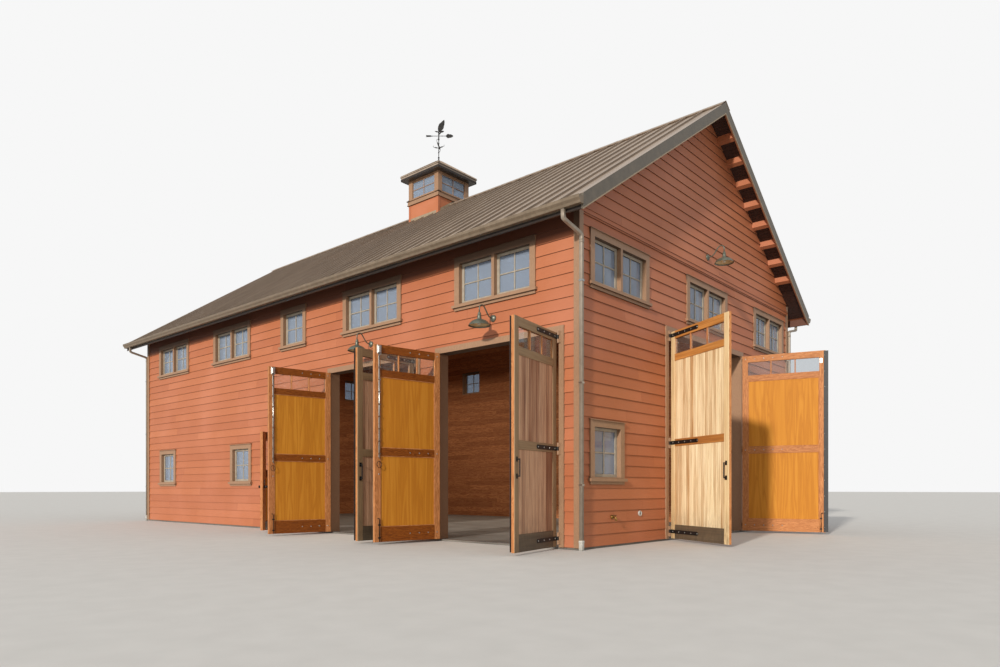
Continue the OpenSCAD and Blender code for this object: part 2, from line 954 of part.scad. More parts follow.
module strap(z, length, width) {
    difference() {
        union() {
            translate([0, 0, z - eye_h / 2 + knuckle_gap])
                cylinder(h = eye_h - 2 * knuckle_gap, r = eye_r, $fn = 24);
            block([0, 0, z - eye_h / 2 + knuckle_gap],
                  [eye_r + leaf_gap, pivot_out, z + eye_h / 2 - knuckle_gap]);
            translate([leaf_gap + 2, pivot_out, z])
                rotate([90, 0, 0])
                    linear_extrude(strap_t)
                        union() {
                            translate([0, -width / 2])
                                square([length - width / 2, width]);
                            translate([length - width / 2, 0])
                                circle(d = width, $fn = 32);
                        }
        }
        translate([0, 0, z - eye_h])
            cylinder(h = 2 * eye_h, r = hinge_pin_r + bearing_gap / 2, $fn = 24);
    }
}

pull_z = 1080;
pull_h = 230;
pull_out = 46;
pull_r = 9;
module d_pull(x) {
    translate([x, pivot_out, pull_z]) {
        for (z = [0, pull_h]) {
            translate([0, 0, z])
                rotate([90, 0, 0])
                    cylinder(h = pull_out, r = pull_r, $fn = 20);
            translate([-22, -5, z - 34])
                cube([44, 5, 68]);
        }
        translate([0, -pull_out, -pull_r])
            cylinder(h = pull_h + 2 * pull_r, r = pull_r, $fn = 20);
    }
}

module leaf_straps(w, h) {
    color([0.10, 0.10, 0.10]) {
        for (z = hinge_heights(h))
            strap(z, w * 0.5, 62);
        d_pull(leaf_gap + w - stile_w / 2);
    }
}

// A framed leaf: stiles, five rails, two bars in the glazed row and panels let into it
panel_t = 32;
panel_set = 14;
bar_w = 20;
module framed_leaf(w, h) {
    back = pivot_out + leaf_t;
    low_panel = leaf_lift + bottom_rail;
    high_panel = low_panel + panel_h(h) + lock_rail;
    glass_low = high_panel + panel_h(h) + lite_rail;
    lite_w = (w - 2 * stile_w - 2 * bar_w) / 3;
    color([0.72, 0.48, 0.25])
        translate([leaf_gap, 0, 0])
            difference() {
                block([0, pivot_out, leaf_lift], [w, back, leaf_lift + h]);
                for (z = [low_panel, high_panel]) {
                    block([stile_w, 0, z], [w - stile_w, pivot_out + panel_set, z + panel_h(h)]);
                    block([stile_w, pivot_out + panel_set + panel_t, z],
                          [w - stile_w, back + cut, z + panel_h(h)]);
                }
                for (i = [0 : 2])
                    translate([stile_w + i * (lite_w + bar_w), 0, 0])
                        block([0, 0, glass_low], [lite_w, back + cut, glass_low + lite_h]);
            }
}

module leaf_glass(w, h) {
    glass_low = leaf_lift + h - top_rail - lite_h;
    lite_w = (w - 2 * stile_w - 2 * bar_w) / 3;
    color([0.60, 0.66, 0.66, 0.5])
        for (i = [0 : 2])
            translate([leaf_gap + stile_w + i * (lite_w + bar_w), pivot_out + leaf_t / 2, glass_low])
                cube([lite_w, glass_t, lite_h]);
}

// The six big leaves
module far_left() {
    hang(LEFT, far_y, side_door_w, 1, far_left_open)
        children();
}

module far_right() {
    hang(LEFT, far_y, side_door_w, -1, far_right_open)
        children();
}

module near_left() {
    hang(LEFT, near_y, side_door_w, 1, near_left_open)
        children();
}

module near_right() {
    hang(LEFT, near_y, side_door_w, -1, near_right_open)
        children();
}

module front_left() {
    hang(FRONT, 0, front_door_w, 1, front_left_open)
        children();
}

module front_right() {
    hang(FRONT, 0, front_door_w, -1, front_right_open)
        children();
}

// The single side door: one light over a flush panel, hung on the far jamb
module walk_place() {
    hang(LEFT, walk_y, walk_w, 1, walk_open)
        children();
}

walk_light = [[125, 1250], [755, 1900]];
module walk_door() {
    color([0.30, 0.20, 0.14])
        walk_place()
            translate([leaf_gap, 0, leaf_lift])
                difference() {
                    block([0, pivot_out, 0], [walk_leaf_w, pivot_out + leaf_t, walk_leaf_h]);
                    block([walk_light[0][0], 0, walk_light[0][1]],
                          [walk_light[1][0], 2 * leaf_t, walk_light[1][1]]);
                    for (y = [pivot_out - cut, pivot_out + leaf_t - 12])
                        block([125, y, 200], [755, y + 12 + cut, 1120]);
                }
}

module walk_door_glass() {
    color([0.60, 0.66, 0.66, 0.5])
        walk_place()
            translate([leaf_gap, 0, leaf_lift])
                block([walk_light[0][0], pivot_out + 24, walk_light[0][1]],
                      [walk_light[1][0], pivot_out + 24 + glass_t, walk_light[1][1]]);
}

module walk_door_hinges() {
    color([0.10, 0.10, 0.10])
        walk_place() {
            for (z = walk_hinges)
                strap(z, 70, 70);
            for (s = [-1, 1])
                translate([leaf_gap + walk_leaf_w - 62, pivot_out + leaf_t / 2, 950])
                    rotate([s * 90, 0, 0])
                        translate([0, 0, leaf_t / 2]) {
                            cylinder(h = 8, r = 30, $fn = 32);
                            cylinder(h = 42, r = 11, $fn = 24);
                            translate([0, 0, 40])
                                cylinder(h = 24, r = 26, $fn = 32);
                        }
        }
}

// Hose tap low on the front wall, and the round vent ring beside it
module wall_fittings() {
    tap_x = -half_w + 888;
    vent_x = -half_w + 1747;
    color([0.66, 0.55, 0.35]) {
        at_side(FRONT, tap_x)
            translate([0, 0, 465]) {
                rotate([90, 0, 0])
                    translate([0, 0, -trim_back])
                        cylinder(h = trim_back + 90, r = 13, $fn = 20);
                translate([0, -70, -45])
                    cylinder(h = 70, r = 12, $fn = 20);
                translate([0, -70, 24])
                    cylinder(h = 12, r = 30, $fn = 24);
            }
        at_side(FRONT, vent_x)
            translate([0, 0, 500])
                rotate([90, 0, 0])
                    translate([0, 0, -trim_back])
                        cylinder(h = trim_back + 14, r = 45, $fn = 32);
    }
}

floor_slab();
left_wall_piers();
left_wall_upper();
left_wall_door_head();
front_wall_piers();
front_wall_gable();
right_wall();
rear_wall();
window_frames();
window_glass();
wall_trim();
door_casings();
roof_deck_left();
roof_deck_right();
roof_panels();
ridge_cap();
rake_boards();
lookouts();
eave_boxes();
gutters();
downspouts();
gooseneck_lamps();
cupola_base();
cupola_frames();
cupola_glass();
cupola_roof();
vane_mast();
wind_vane();
hinge_pintles();
wall_fittings();
far_left() framed_leaf(side_leaf_w, side_leaf_h);  // far_left_leaf
far_left() leaf_glass(side_leaf_w, side_leaf_h);  // far_left_glass
far_left() leaf_straps(side_leaf_w, side_leaf_h);  // far_left_straps
far_right() framed_leaf(side_leaf_w, side_leaf_h);  // far_right_leaf
far_right() leaf_glass(side_leaf_w, side_leaf_h);  // far_right_glass
far_right() leaf_straps(side_leaf_w, side_leaf_h);  // far_right_straps
near_left() framed_leaf(side_leaf_w, side_leaf_h);  // near_left_leaf
near_left() leaf_glass(side_leaf_w, side_leaf_h);  // near_left_glass
near_left() leaf_straps(side_leaf_w, side_leaf_h);  // near_left_straps
near_right() framed_leaf(side_leaf_w, side_leaf_h);  // near_right_leaf
near_right() leaf_glass(side_leaf_w, side_leaf_h);  // near_right_glass
near_right() leaf_straps(side_leaf_w, side_leaf_h);  // near_right_straps
front_left() framed_leaf(front_leaf_w, front_leaf_h);  // front_left_leaf
front_left() leaf_glass(front_leaf_w, front_leaf_h);  // front_left_glass
front_left() leaf_straps(front_leaf_w, front_leaf_h);  // front_left_straps
front_right() framed_leaf(front_leaf_w, front_leaf_h);  // front_right_leaf
front_right() leaf_glass(front_leaf_w, front_leaf_h);  // front_right_glass
front_right() leaf_straps(front_leaf_w, front_leaf_h);  // front_right_straps
walk_door();
walk_door_glass();
walk_door_hinges();
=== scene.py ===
"""Looks of a timber barn: siding, roofing, windows, framed door leaves, lamps, cupola and vane.
Everything is in metres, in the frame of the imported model: the front gable faces -Y."""
import math
import random

import bmesh
import bpy
from mathutils import Matrix, Vector


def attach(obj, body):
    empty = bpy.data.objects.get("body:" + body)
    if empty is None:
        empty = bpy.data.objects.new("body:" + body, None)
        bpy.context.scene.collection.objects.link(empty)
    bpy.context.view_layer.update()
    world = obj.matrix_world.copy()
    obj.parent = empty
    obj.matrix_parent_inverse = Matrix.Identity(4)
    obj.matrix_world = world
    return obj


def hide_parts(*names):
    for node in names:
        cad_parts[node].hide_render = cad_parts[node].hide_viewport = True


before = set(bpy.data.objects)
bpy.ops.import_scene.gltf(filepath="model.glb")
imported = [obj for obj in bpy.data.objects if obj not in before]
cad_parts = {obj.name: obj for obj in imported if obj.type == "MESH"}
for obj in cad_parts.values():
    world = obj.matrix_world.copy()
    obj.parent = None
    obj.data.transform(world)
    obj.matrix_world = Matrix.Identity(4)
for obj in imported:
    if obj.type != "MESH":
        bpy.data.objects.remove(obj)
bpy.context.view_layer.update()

# Driving sizes of the building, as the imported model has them
HALF_W = 4.300
HALF_L = 7.450
SIDING_T = 0.020
WALL_T = 0.200
INNER_W = HALF_W - SIDING_T - WALL_T
INNER_L = HALF_L - SIDING_T - WALL_T
SLAB_H = 0.030
TRIM_FACE = 0.015
BOARD_W = 0.090
PITCH = math.radians(34)
SLOPE = math.tan(PITCH)
PLUMB = 1 / math.cos(PITCH)
EAVE_X = HALF_W + 0.424
EAVE_Z = 5.020
RAKE_Y = HALF_L + 0.370
WALL_TOP = 5.235
BELT_Z = (5.020, 5.095)
DECK_DEPTH = 0.050
CEILING_DEPTH = DECK_DEPTH + 0.110
FASCIA_LOW = 4.825

# Windows and doorways: centre along the wall, width over the casing or clear, and heights
DOUBLE_W = 1.760
SINGLE_W = 0.965
UPPER_Z = (3.935, 4.838)
LOWER_Z = (0.975, 1.960)
CASING_W = 0.092
LINING_T = 0.020
SASH_W = 0.048
SASH_Y = 0.060
SASH_T = 0.040
MULLION_W = 0.060
NEAR_Y = 1.664 - HALF_L
FAR_Y = 4.846 - HALF_L
WALK_Y = 7.510 - HALF_L
NEAR_WINDOW_Y = NEAR_Y + 0.035
SIDE_DOOR_W = 2.600
SIDE_HEAD = 3.262
FRONT_DOOR_W = 3.170
FRONT_HEAD = 3.664
WALK_W = 0.896
WALK_HEAD = 2.108
HEAD_BOARD = 0.100

# Leaves
PIVOT_OUT = 0.020
LEAF_GAP = 0.006
LEAF_T = 0.057
LEAF_LIFT = 0.040
STILE_W = 0.112
TOP_RAIL = 0.132
LITE_H = 0.272
LITE_RAIL = 0.116
LOCK_RAIL = 0.125
BOTTOM_RAIL = 0.245
BAR_W = 0.020

FRONT, LEFT, REAR, RIGHT = range(4)
SIDES = ((FRONT, "front"), (LEFT, "left"), (REAR, "rear"), (RIGHT, "right"))
LEFT_UPPER = [(NEAR_WINDOW_Y, DOUBLE_W), (FAR_Y, DOUBLE_W), (WALK_Y, SINGLE_W),
              (WALK_Y + 2.660, DOUBLE_W), (WALK_Y + 5.760, DOUBLE_W)]
GABLE_WINDOWS = ([(x, DOUBLE_W, UPPER_Z) for x in (-3.140, 0, 3.140)]
                 + [(x, SINGLE_W, LOWER_Z) for x in (-3.540, 3.540)])
WINDOWS = {
    FRONT: GABLE_WINDOWS,
    LEFT: ([(y, w, UPPER_Z) for y, w in LEFT_UPPER]
           + [(WALK_Y + d, SINGLE_W, LOWER_Z) for d in (2.225, 6.120)]),
    REAR: GABLE_WINDOWS,
    RIGHT: ([(y, SINGLE_W, UPPER_Z)
             for y in (NEAR_Y, FAR_Y, WALK_Y, WALK_Y + 2.660, WALK_Y + 5.760)]
            + [(y, SINGLE_W, LOWER_Z) for y in (NEAR_Y, FAR_Y, WALK_Y + 5.760)]),
}
DOORWAYS = {
    FRONT: [(0, FRONT_DOOR_W, FRONT_HEAD)],
    LEFT: [(NEAR_Y, SIDE_DOOR_W, SIDE_HEAD), (FAR_Y, SIDE_DOOR_W, SIDE_HEAD),
           (WALK_Y, WALK_W, WALK_HEAD)],
    REAR: [],
    RIGHT: [],
}


def under_roof(x, depth):
    """Height of the surface that lies depth under the metal roofing."""
    return EAVE_Z + (EAVE_X - abs(x)) * SLOPE - depth * PLUMB


def slope_normal(sx):
    """Straight out of the roof on one side: sx is -1 on the left slope, 1 on the right."""
    return Vector((sx * math.sin(PITCH), 0, math.cos(PITCH)))


def side_frame(side, pos):
    """Local +x runs right as seen from outside, +y runs inwards, from the siding's outer face."""
    place = ((pos, -HALF_L, 0), (-HALF_W, pos, 0), (pos, HALF_L, 0), (HALF_W, pos, 0))[side]
    turn = (0, -90, 180, 90)[side]
    return Matrix.Translation(place) @ Matrix.Rotation(math.radians(turn), 4, "Z")


def local_x(side, pos):
    """Where a place along a wall lies in the frame of the wall's middle."""
    return (pos, -pos, -pos, pos)[side]


# Meshes

BOX_FACES = [(0, 3, 2, 1), (4, 5, 6, 7), (0, 1, 5, 4), (1, 2, 6, 5), (2, 3, 7, 6), (3, 0, 4, 7)]


def bar_faces(rows, n):
    """Faces of a closed bar of so many rows, each of n points."""
    last = (rows - 1) * n
    faces = [tuple(range(n - 1, -1, -1)), tuple(range(last, last + n))]
    for i in range(rows - 1):
        for k in range(n):
            m = (k + 1) % n
            faces.append((i * n + k, i * n + m, (i + 1) * n + m, (i + 1) * n + k))
    return faces


class Shape:
    """Collects closed solids into one mesh. Each solid has its own grain coordinates, along,
    across and through the board, and one tone, so that boards differ."""

    def __init__(self, matrix=None, seed=1):
        self.verts, self.faces, self.grain, self.tone, self.slots = [], [], [], [], []
        self.smooth = []
        self.matrix = matrix or Matrix()
        self.rng = random.Random(seed)

    def solid(self, points, faces, along=0, tone=None, slot=0, smooth=False, straight=None):
        """A closed solid. along is the axis of the grain: 0, 1 or 2. straight holds the points of
        the same solid lying square, where it doesn't."""
        first = len(self.verts)
        self.verts += [self.matrix @ Vector(p) for p in points]
        tone = self.rng.random() if tone is None else tone
        shift = (self.rng.random() * 20, self.rng.random() * 20)
        a, b, c = ((0, 1, 2), (1, 0, 2), (2, 0, 1))[along]
        flat = [(p[a] + shift[0], p[b] + shift[1], p[c]) for p in straight or points]
        for face in faces:
            self.faces.append([first + i for i in face])
            self.grain.append([flat[i] for i in face])
            self.tone.append(tone)
            self.slots.append(slot)
            self.smooth.append(smooth)

    def box(self, low, high, along=0, tone=None, slot=0, edge=0.0):
        """A box, with its long edges eased where edge is given."""
        (x0, y0, z0), (x1, y1, z1) = low, high
        if edge <= 0:
            points = [(x0, y0, z0), (x1, y0, z0), (x1, y1, z0), (x0, y1, z0),
                      (x0, y0, z1), (x1, y0, z1), (x1, y1, z1), (x0, y1, z1)]
            self.solid(points, BOX_FACES, along, tone, slot)
            return
        a, b = [i for i in range(3) if i != along]
        u0, v0, u1, v1 = low[a], low[b], high[a], high[b]
        ring = [(u0 + edge, v0), (u1 - edge, v0), (u1, v0 + edge), (u1, v1 - edge),
                (u1 - edge, v1), (u0 + edge, v1), (u0, v1 - edge), (u0, v0 + edge)]
        self.prism(ring, along, low[along], high[along], tone, slot)

    def surround(self, low, high, y0, y1, width, slot=0, edge=0.003):
        """Four bars round an opening given in X and Z, the uprights at full height."""
        (x0, z0), (x1, z1) = low, high
        for a, b in ((x0, x0 + width), (x1 - width, x1)):
            self.box((a, y0, z0), (b, y1, z1), 2, slot=slot, edge=edge)
        for a, b in ((z0, z0 + width), (z1 - width, z1)):
            self.box((x0 + width, y0, a), (x1 - width, y1, b), 0, slot=slot, edge=edge)

    def prism(self, ring, along, start, end, tone=None, slot=0, smooth=False):
        """An outline in the two other axes, in order, run along one axis."""
        a, b = [i for i in range(3) if i != along]
        points = []
        for place in (start, end):
            for u, v in ring:
                p = [0, 0, 0]
                p[along], p[a], p[b] = place, u, v
                points.append(tuple(p))
        self.solid(points, bar_faces(2, len(ring)), along, tone, slot, smooth)

    def spin(self, profile, centre, axis=2, steps=24, slot=0, smooth=True, tone=None):
        """A closed outline of (radius, height) points turned round an axis; radius 0 closes."""
        a, b = [i for i in range(3) if i != axis]
        points, rows = [], []
        for r, h in profile:
            row = []
            for k in range(1 if r < 1e-6 else steps):
                t = 2 * math.pi * k / steps
                p = list(centre)
                p[axis] += h
                p[a] += r * math.cos(t)
                p[b] += r * math.sin(t)
                row.append(len(points))
                points.append(tuple(p))
            rows.append(row)
        faces = []
        closed = profile[0][0] > 1e-6
        pairs = list(zip(rows, rows[1:])) + ([(rows[-1], rows[0])] if closed else [])
        for low, high in pairs:
            for k in range(steps):
                m = (k + 1) % steps
                quad = [low[k % len(low)], low[m % len(low)], high[m % len(high)], high[k % len(high)]]
                quad = [v for i, v in enumerate(quad) if v not in quad[:i]]
                if len(quad) > 2:
                    faces.append(tuple(quad))
        self.solid(points, faces, axis, tone, slot, smooth)

    def tube(self, path, radius, steps=12, slot=0, flat=1.0, tone=None):
        """A round bar along a list of points, closed at both ends."""
        path = [Vector(p) for p in path]
        points, side = [], None
        for i, p in enumerate(path):
            ahead = (path[min(i + 1, len(path) - 1)] - path[max(i - 1, 0)]).normalized()
            if side is None:
                side = ahead.orthogonal().normalized()
            side = (side - ahead * side.dot(ahead)).normalized()
            up = ahead.cross(side)
            r = radius[i] if isinstance(radius, (list, tuple)) else radius
            for k in range(steps):
                t = 2 * math.pi * k / steps
                points.append(tuple(p + side * r * math.cos(t) + up * r * flat * math.sin(t)))
        self.solid(points, bar_faces(len(path), steps), 2, tone, slot, True)

    def beam(self, start, end, width, height, up, tone=None, slot=0):
        """A square-edged bar between two points: width across, height along up, which is the
        side that the bar stands on its line."""
        start, end, up = Vector(start), Vector(end), Vector(up).normalized()
        across = (end - start).cross(up).normalized() * width / 2
        rise = up * height
        points = [p + a + r for p in (start, end) for a, r in
                  ((-across, Vector()), (across, Vector()), (across, rise), (-across, rise))]
        faces = [(0, 1, 2, 3), (7, 6, 5, 4), (0, 4, 5, 1), (1, 5, 6, 2), (2, 6, 7, 3), (3, 7, 4, 0)]
        straight = [(l, w, h) for l in (0, (end - start).length) for w, h in
                    ((0, 0), (width, 0), (width, height), (0, height))]
        self.solid(points, faces, 0, tone, slot, straight=straight)

    def sweep(self, path, ring, up, slot=0, smooth=True):
        """An outline of (across, up) points run along a flat path, with mitred corners."""
        path, up, points = [Vector(p) for p in path], Vector(up), []
        for i, p in enumerate(path):
            back = (p - path[i - 1]).normalized() if i else None
            ahead = (path[i + 1] - p).normalized() if i + 1 < len(path) else back
            back = back or ahead
            along = (back + ahead).normalized()
            across = along.cross(up).normalized() / max(0.2, along.dot(ahead))
            points += [tuple(p + across * a + up * u) for a, u in ring]
        self.solid(points, bar_faces(len(path), len(ring)), 2, None, slot, smooth)

    def build(self, name, materials, body, replaces=()):
        """Makes the object and rides it on a body."""
        mesh = bpy.data.meshes.new(name)
        mesh.from_pydata([tuple(v) for v in self.verts], [], self.faces)
        for m in materials:
            mesh.materials.append(m)
        grain = mesh.attributes.new("grain", "FLOAT_VECTOR", "CORNER")
        grain.data.foreach_set("vector", [c for f in self.grain for p in f for c in p])
        tone = mesh.attributes.new("tone", "FLOAT", "FACE")
        tone.data.foreach_set("value", self.tone)
        mesh.polygons.foreach_set("material_index", self.slots)
        mesh.polygons.foreach_set("use_smooth", self.smooth)
        work = bmesh.new()
        work.from_mesh(mesh)
        bmesh.ops.recalc_face_normals(work, faces=work.faces)
        work.to_mesh(mesh)
        work.free()
        obj = bpy.data.objects.new(name, mesh)
        bpy.context.scene.collection.objects.link(obj)
        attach(obj, body)
        if replaces:
            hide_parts(*replaces)
        return obj


# Materials

class Nodes:
    """A short way to write a material's nodes."""

    def __init__(self, name):
        self.mat = bpy.data.materials.new(name)
        self.mat.use_nodes = True
        self.tree = self.mat.node_tree
        self.shader = self.tree.nodes["Principled BSDF"]

    def add(self, kind, **values):
        node = self.tree.nodes.new(kind)
        for key, value in values.items():
            setattr(node, key, value)
        return node

    def link(self, out, into):
        self.tree.links.new(out, into)

    def place(self, kind="object", stretch=(1, 1, 1)):
        """Coordinates: the board's own grain, or the object's, stretched."""
        if kind == "grain":
            source = self.add("ShaderNodeAttribute", attribute_name="grain").outputs["Vector"]
        else:
            source = self.add("ShaderNodeTexCoord").outputs["Object"]
        mapping = self.add("ShaderNodeMapping")
        mapping.inputs["Scale"].default_value = stretch
        self.link(source, mapping.inputs["Vector"])
        return mapping.outputs["Vector"]

    def noise(self, vector, scale, detail=4, rough=0.55, distort=0.0):
        node = self.add("ShaderNodeTexNoise")
        node.inputs["Scale"].default_value = scale
        node.inputs["Detail"].default_value = detail
        node.inputs["Roughness"].default_value = rough
        node.inputs["Distortion"].default_value = distort
        self.link(vector, node.inputs["Vector"])
        return node.outputs["Fac"]

    def part(self, kind, axis):
        """One axis of the object's own coordinates, Object, or of its Normal."""
        axes = self.add("ShaderNodeSeparateXYZ")
        self.link(self.add("ShaderNodeTexCoord").outputs[kind], axes.inputs[0])
        return axes.outputs[axis]

    def painted_underside_shade(self, amount):
        """Painted shade: the share of darkening on faces that look down."""
        return self.fit(self.part("Normal", "Z"), -0.75, -0.95, 0.0, amount)

    def painted_eave_shade(self):
        """Painted shade: darkens the top of the long walls, where the eaves' shadow falls."""
        faces_out = self.fit(self.math("ABSOLUTE", self.part("Normal", "X"), 0), 0.5, 0.8)
        from_eave = self.math("ABSOLUTE", self.math("SUBTRACT", self.part("Object", "Z"), EAVE_Z), 0)
        return self.math("MULTIPLY", faces_out, self.fit(from_eave, 0.36, 0.25, 0, 0.8))

    def tone(self):
        return self.add("ShaderNodeAttribute", attribute_name="tone").outputs["Fac"]

    def ramp(self, value, stops):
        node = self.add("ShaderNodeValToRGB")
        ramp = node.color_ramp
        while len(ramp.elements) < len(stops):
            ramp.elements.new(0.5)
        for element, (at, colour) in zip(ramp.elements, stops):
            element.position = at
            element.color = (*linear(colour), 1)
        self.link(value, node.inputs["Fac"])
        return node.outputs["Color"]

    def fit(self, value, low, high, to_low=0.0, to_high=1.0):
        node = self.add("ShaderNodeMapRange")
        for key, number in (("From Min", low), ("From Max", high), ("To Min", to_low),
                            ("To Max", to_high)):
            node.inputs[key].default_value = number
        self.link(value, node.inputs["Value"])
        return node.outputs["Result"]

    def math(self, kind, a, b):
        node = self.add("ShaderNodeMath", operation=kind)
        for socket, value in zip(node.inputs, (a, b)):
            if isinstance(value, (int, float)):
                socket.default_value = value
            else:
                self.link(value, socket)
        return node.outputs["Value"]

    def mix(self, factor, a, b, kind="MIX"):
        node = self.add("ShaderNodeMix", data_type="RGBA", blend_type=kind)
        for socket, value in ((node.inputs[0], factor), (node.inputs[6], a), (node.inputs[7], b)):
            if isinstance(value, (int, float)):
                socket.default_value = value
            elif isinstance(value, tuple):
                socket.default_value = (*linear(value), 1)
            else:
                self.link(value, socket)
        return node.outputs[2]

    def bump(self, height, distance, strength=1.0):
        node = self.add("ShaderNodeBump")
        node.inputs["Distance"].default_value = distance
        node.inputs["Strength"].default_value = strength
        self.link(height, node.inputs["Height"])
        self.link(node.outputs["Normal"], self.shader.inputs["Normal"])

    def finish(self, colour, rough, metal=0.0):
        for key, value in (("Base Color", colour), ("Roughness", rough)):
            socket = self.shader.inputs[key]
            if isinstance(value, tuple):
                socket.default_value = (*linear(value), 1)
            elif isinstance(value, float):
                socket.default_value = value
            else:
                self.link(value, socket)
        self.shader.inputs["Metallic"].default_value = metal
        return self.mat


def linear(colour):
    """sRGB 0 to 1 as it is seen, to the linear values that a shader takes."""
    return tuple(c / 12.92 if c <= 0.04045 else ((c + 0.055) / 1.055) ** 2.4 for c in colour)


def siding_material():
    """Painted lapped boards: a faint sawn grain, boards a little apart in tone, soft weathering, and
    painted shade under the eaves and on faces that look down.
    """
    n = Nodes("siding_paint")
    grain = n.place("grain", (1.5, 40, 40))
    fine = n.noise(grain, 6, 5, 0.6)
    cloud = n.noise(n.place(), 0.9, 3, 0.5)
    base = n.ramp(fine, [(0.25, (0.665, 0.385, 0.24)), (0.8, (0.735, 0.445, 0.285))])
    faded = n.mix(n.fit(cloud, 0.42, 0.75, 0, 0.5), base, (0.775, 0.495, 0.375))
    board = n.mix(n.fit(n.tone(), 0, 1, 0.0, 0.28), faded, (0.56, 0.28, 0.165))
    n.bump(fine, 0.0009)
    # Painted shade: the eaves' shadow darkens the top of the long walls
    wall = n.mix(n.painted_eave_shade(), board, (0.17, 0.07, 0.045))
    # Painted shade on faces that look down, such as the boards' butt edges
    return n.finish(n.mix(n.painted_underside_shade(0.85), wall, (0.13, 0.055, 0.03)),
                    n.fit(fine, 0.2, 0.8, 0.48, 0.62))


def trim_material():
    """Painted trim boards, satin, taupe brown, with painted shade under the eaves and on faces that look
    down.
    """
    n = Nodes("trim_paint")
    where = n.place()
    brush = n.noise(n.place("object", (6, 6, 1.2)), 22, 4, 0.6)
    cloud = n.noise(where, 1.7, 3, 0.5)
    base = n.ramp(brush, [(0.3, (0.565, 0.43, 0.325)), (0.75, (0.65, 0.51, 0.395))])
    n.bump(brush, 0.0006)
    face = n.mix(n.fit(cloud, 0.4, 0.8, 0, 0.3), base, (0.49, 0.365, 0.27))
    # Painted shade: the eaves' shadow darkens the trim near the top of the long walls
    kept = n.mix(n.painted_eave_shade(), face, (0.23, 0.165, 0.12))
    # Painted shade on faces that look down
    return n.finish(n.mix(n.painted_underside_shade(0.8), kept, (0.13, 0.085, 0.055)), 0.5)


def roof_material():
    """Bronze coated steel sheet with slight waves in the pans and a dull sheen; painted shade on the
    seams' sides and on faces that look down.
    """
    n = Nodes("roof_bronze")
    where = n.place()
    wave = n.noise(n.place("object", (0.6, 5, 0.6)), 1.6, 2, 0.4)
    dust = n.noise(where, 14, 5, 0.65)
    base = n.ramp(wave, [(0.3, (0.60, 0.53, 0.465)), (0.75, (0.68, 0.61, 0.54))])
    n.bump(wave, 0.006, 0.35)
    n.shader.inputs["Coat Weight"].default_value = 0.1
    # Painted shade: the folded sides of the seams are darker than the pans
    painted_seam_shade = n.fit(n.math("ABSOLUTE", n.part("Normal", "Y"), 0), 0.5, 0.9, 0, 0.45)
    pans = n.mix(n.fit(dust, 0.5, 0.85, 0, 0.25), base, (0.70, 0.65, 0.58))
    top = n.mix(painted_seam_shade, pans, (0.29, 0.25, 0.21))
    # Painted shade on faces that look down
    return n.finish(n.mix(n.painted_underside_shade(0.9), top, (0.13, 0.10, 0.075)),
                    n.fit(dust, 0.2, 0.8, 0.38, 0.54), 0.25)


def coated_metal(name, dark, light, rough=0.42, metal=0.3):
    """Coated sheet metal for gutters, pipes and lamps, with faint mottling."""
    n = Nodes(name)
    where = n.place()
    mottle = n.noise(where, 9, 4, 0.6)
    fine = n.noise(where, 160, 3, 0.5)
    base = n.ramp(mottle, [(0.3, dark), (0.75, light)])
    n.bump(fine, 0.0002)
    return n.finish(base, n.fit(mottle, 0.2, 0.8, rough - 0.06, rough + 0.1), metal)


def iron_material():
    """Black forged iron, slightly pitted."""
    n = Nodes("black_iron")
    where = n.place()
    pits = n.noise(where, 130, 5, 0.7)
    worn = n.noise(where, 18, 4, 0.6)
    base = n.ramp(worn, [(0.35, (0.105, 0.10, 0.10)), (0.8, (0.185, 0.175, 0.165))])
    n.bump(pits, 0.0006)
    return n.finish(base, n.fit(pits, 0.3, 0.7, 0.42, 0.62), 0.55)


def bright_metal():
    """Zinc plated fasteners and rods."""
    n = Nodes("bright_zinc")
    fine = n.noise(n.place(), 220, 3, 0.5)
    base = n.ramp(fine, [(0.3, (0.66, 0.66, 0.65)), (0.8, (0.80, 0.80, 0.78))])
    return n.finish(base, n.fit(fine, 0.2, 0.8, 0.22, 0.36), 1.0)


def wood_material(name, dark, mid, light, tone_dark, ring_scale=9, spread=0.3, rough=0.6,
                  coat=0.03, pore=0.35):
    """Clear finished timber: long figure and pores along the board's own grain."""
    n = Nodes(name)
    figure = n.noise(n.place("grain", (0.55, 9, 9)), ring_scale * 0.35, 3, 0.5, 0.9)
    pores = n.noise(n.place("grain", (3, 160, 160)), 3, 4, 0.6)
    rings = n.math("FRACT", n.math("MULTIPLY", figure, ring_scale), 0)
    soft = n.math("SUBTRACT", 1.0, n.math("ABSOLUTE", n.math("SUBTRACT", rings, 0.5), 0))
    base = n.ramp(soft, [(0.5, light), (0.72, mid), (1.0, dark)])
    pored = n.mix(n.fit(pores, 0.5, 0.75, 0, pore), base, dark)
    board = n.mix(n.fit(n.tone(), 0, 1, 0.0, spread), pored, tone_dark)
    n.bump(pores, 0.0005)
    n.shader.inputs["Specular IOR Level"].default_value = 0.25
    n.shader.inputs["Coat Weight"].default_value = coat
    n.shader.inputs["Coat Roughness"].default_value = 0.25
    return n.finish(board, n.fit(pores, 0.2, 0.8, rough - 0.06, rough + 0.1))


def ground_stain(n, colour, dirt=(0.27, 0.22, 0.17)):
    """Splashed and greyed wood close to the ground."""
    blotch = n.noise(n.place("object", (5, 5, 1.5)), 5, 4, 0.6)
    share = n.math("MULTIPLY", n.fit(n.part("Object", "Z"), 0.12, 0.62, 1, 0), n.fit(blotch, 0.3, 0.65))
    return n.mix(n.math("MULTIPLY", share, 0.6), colour, dirt)


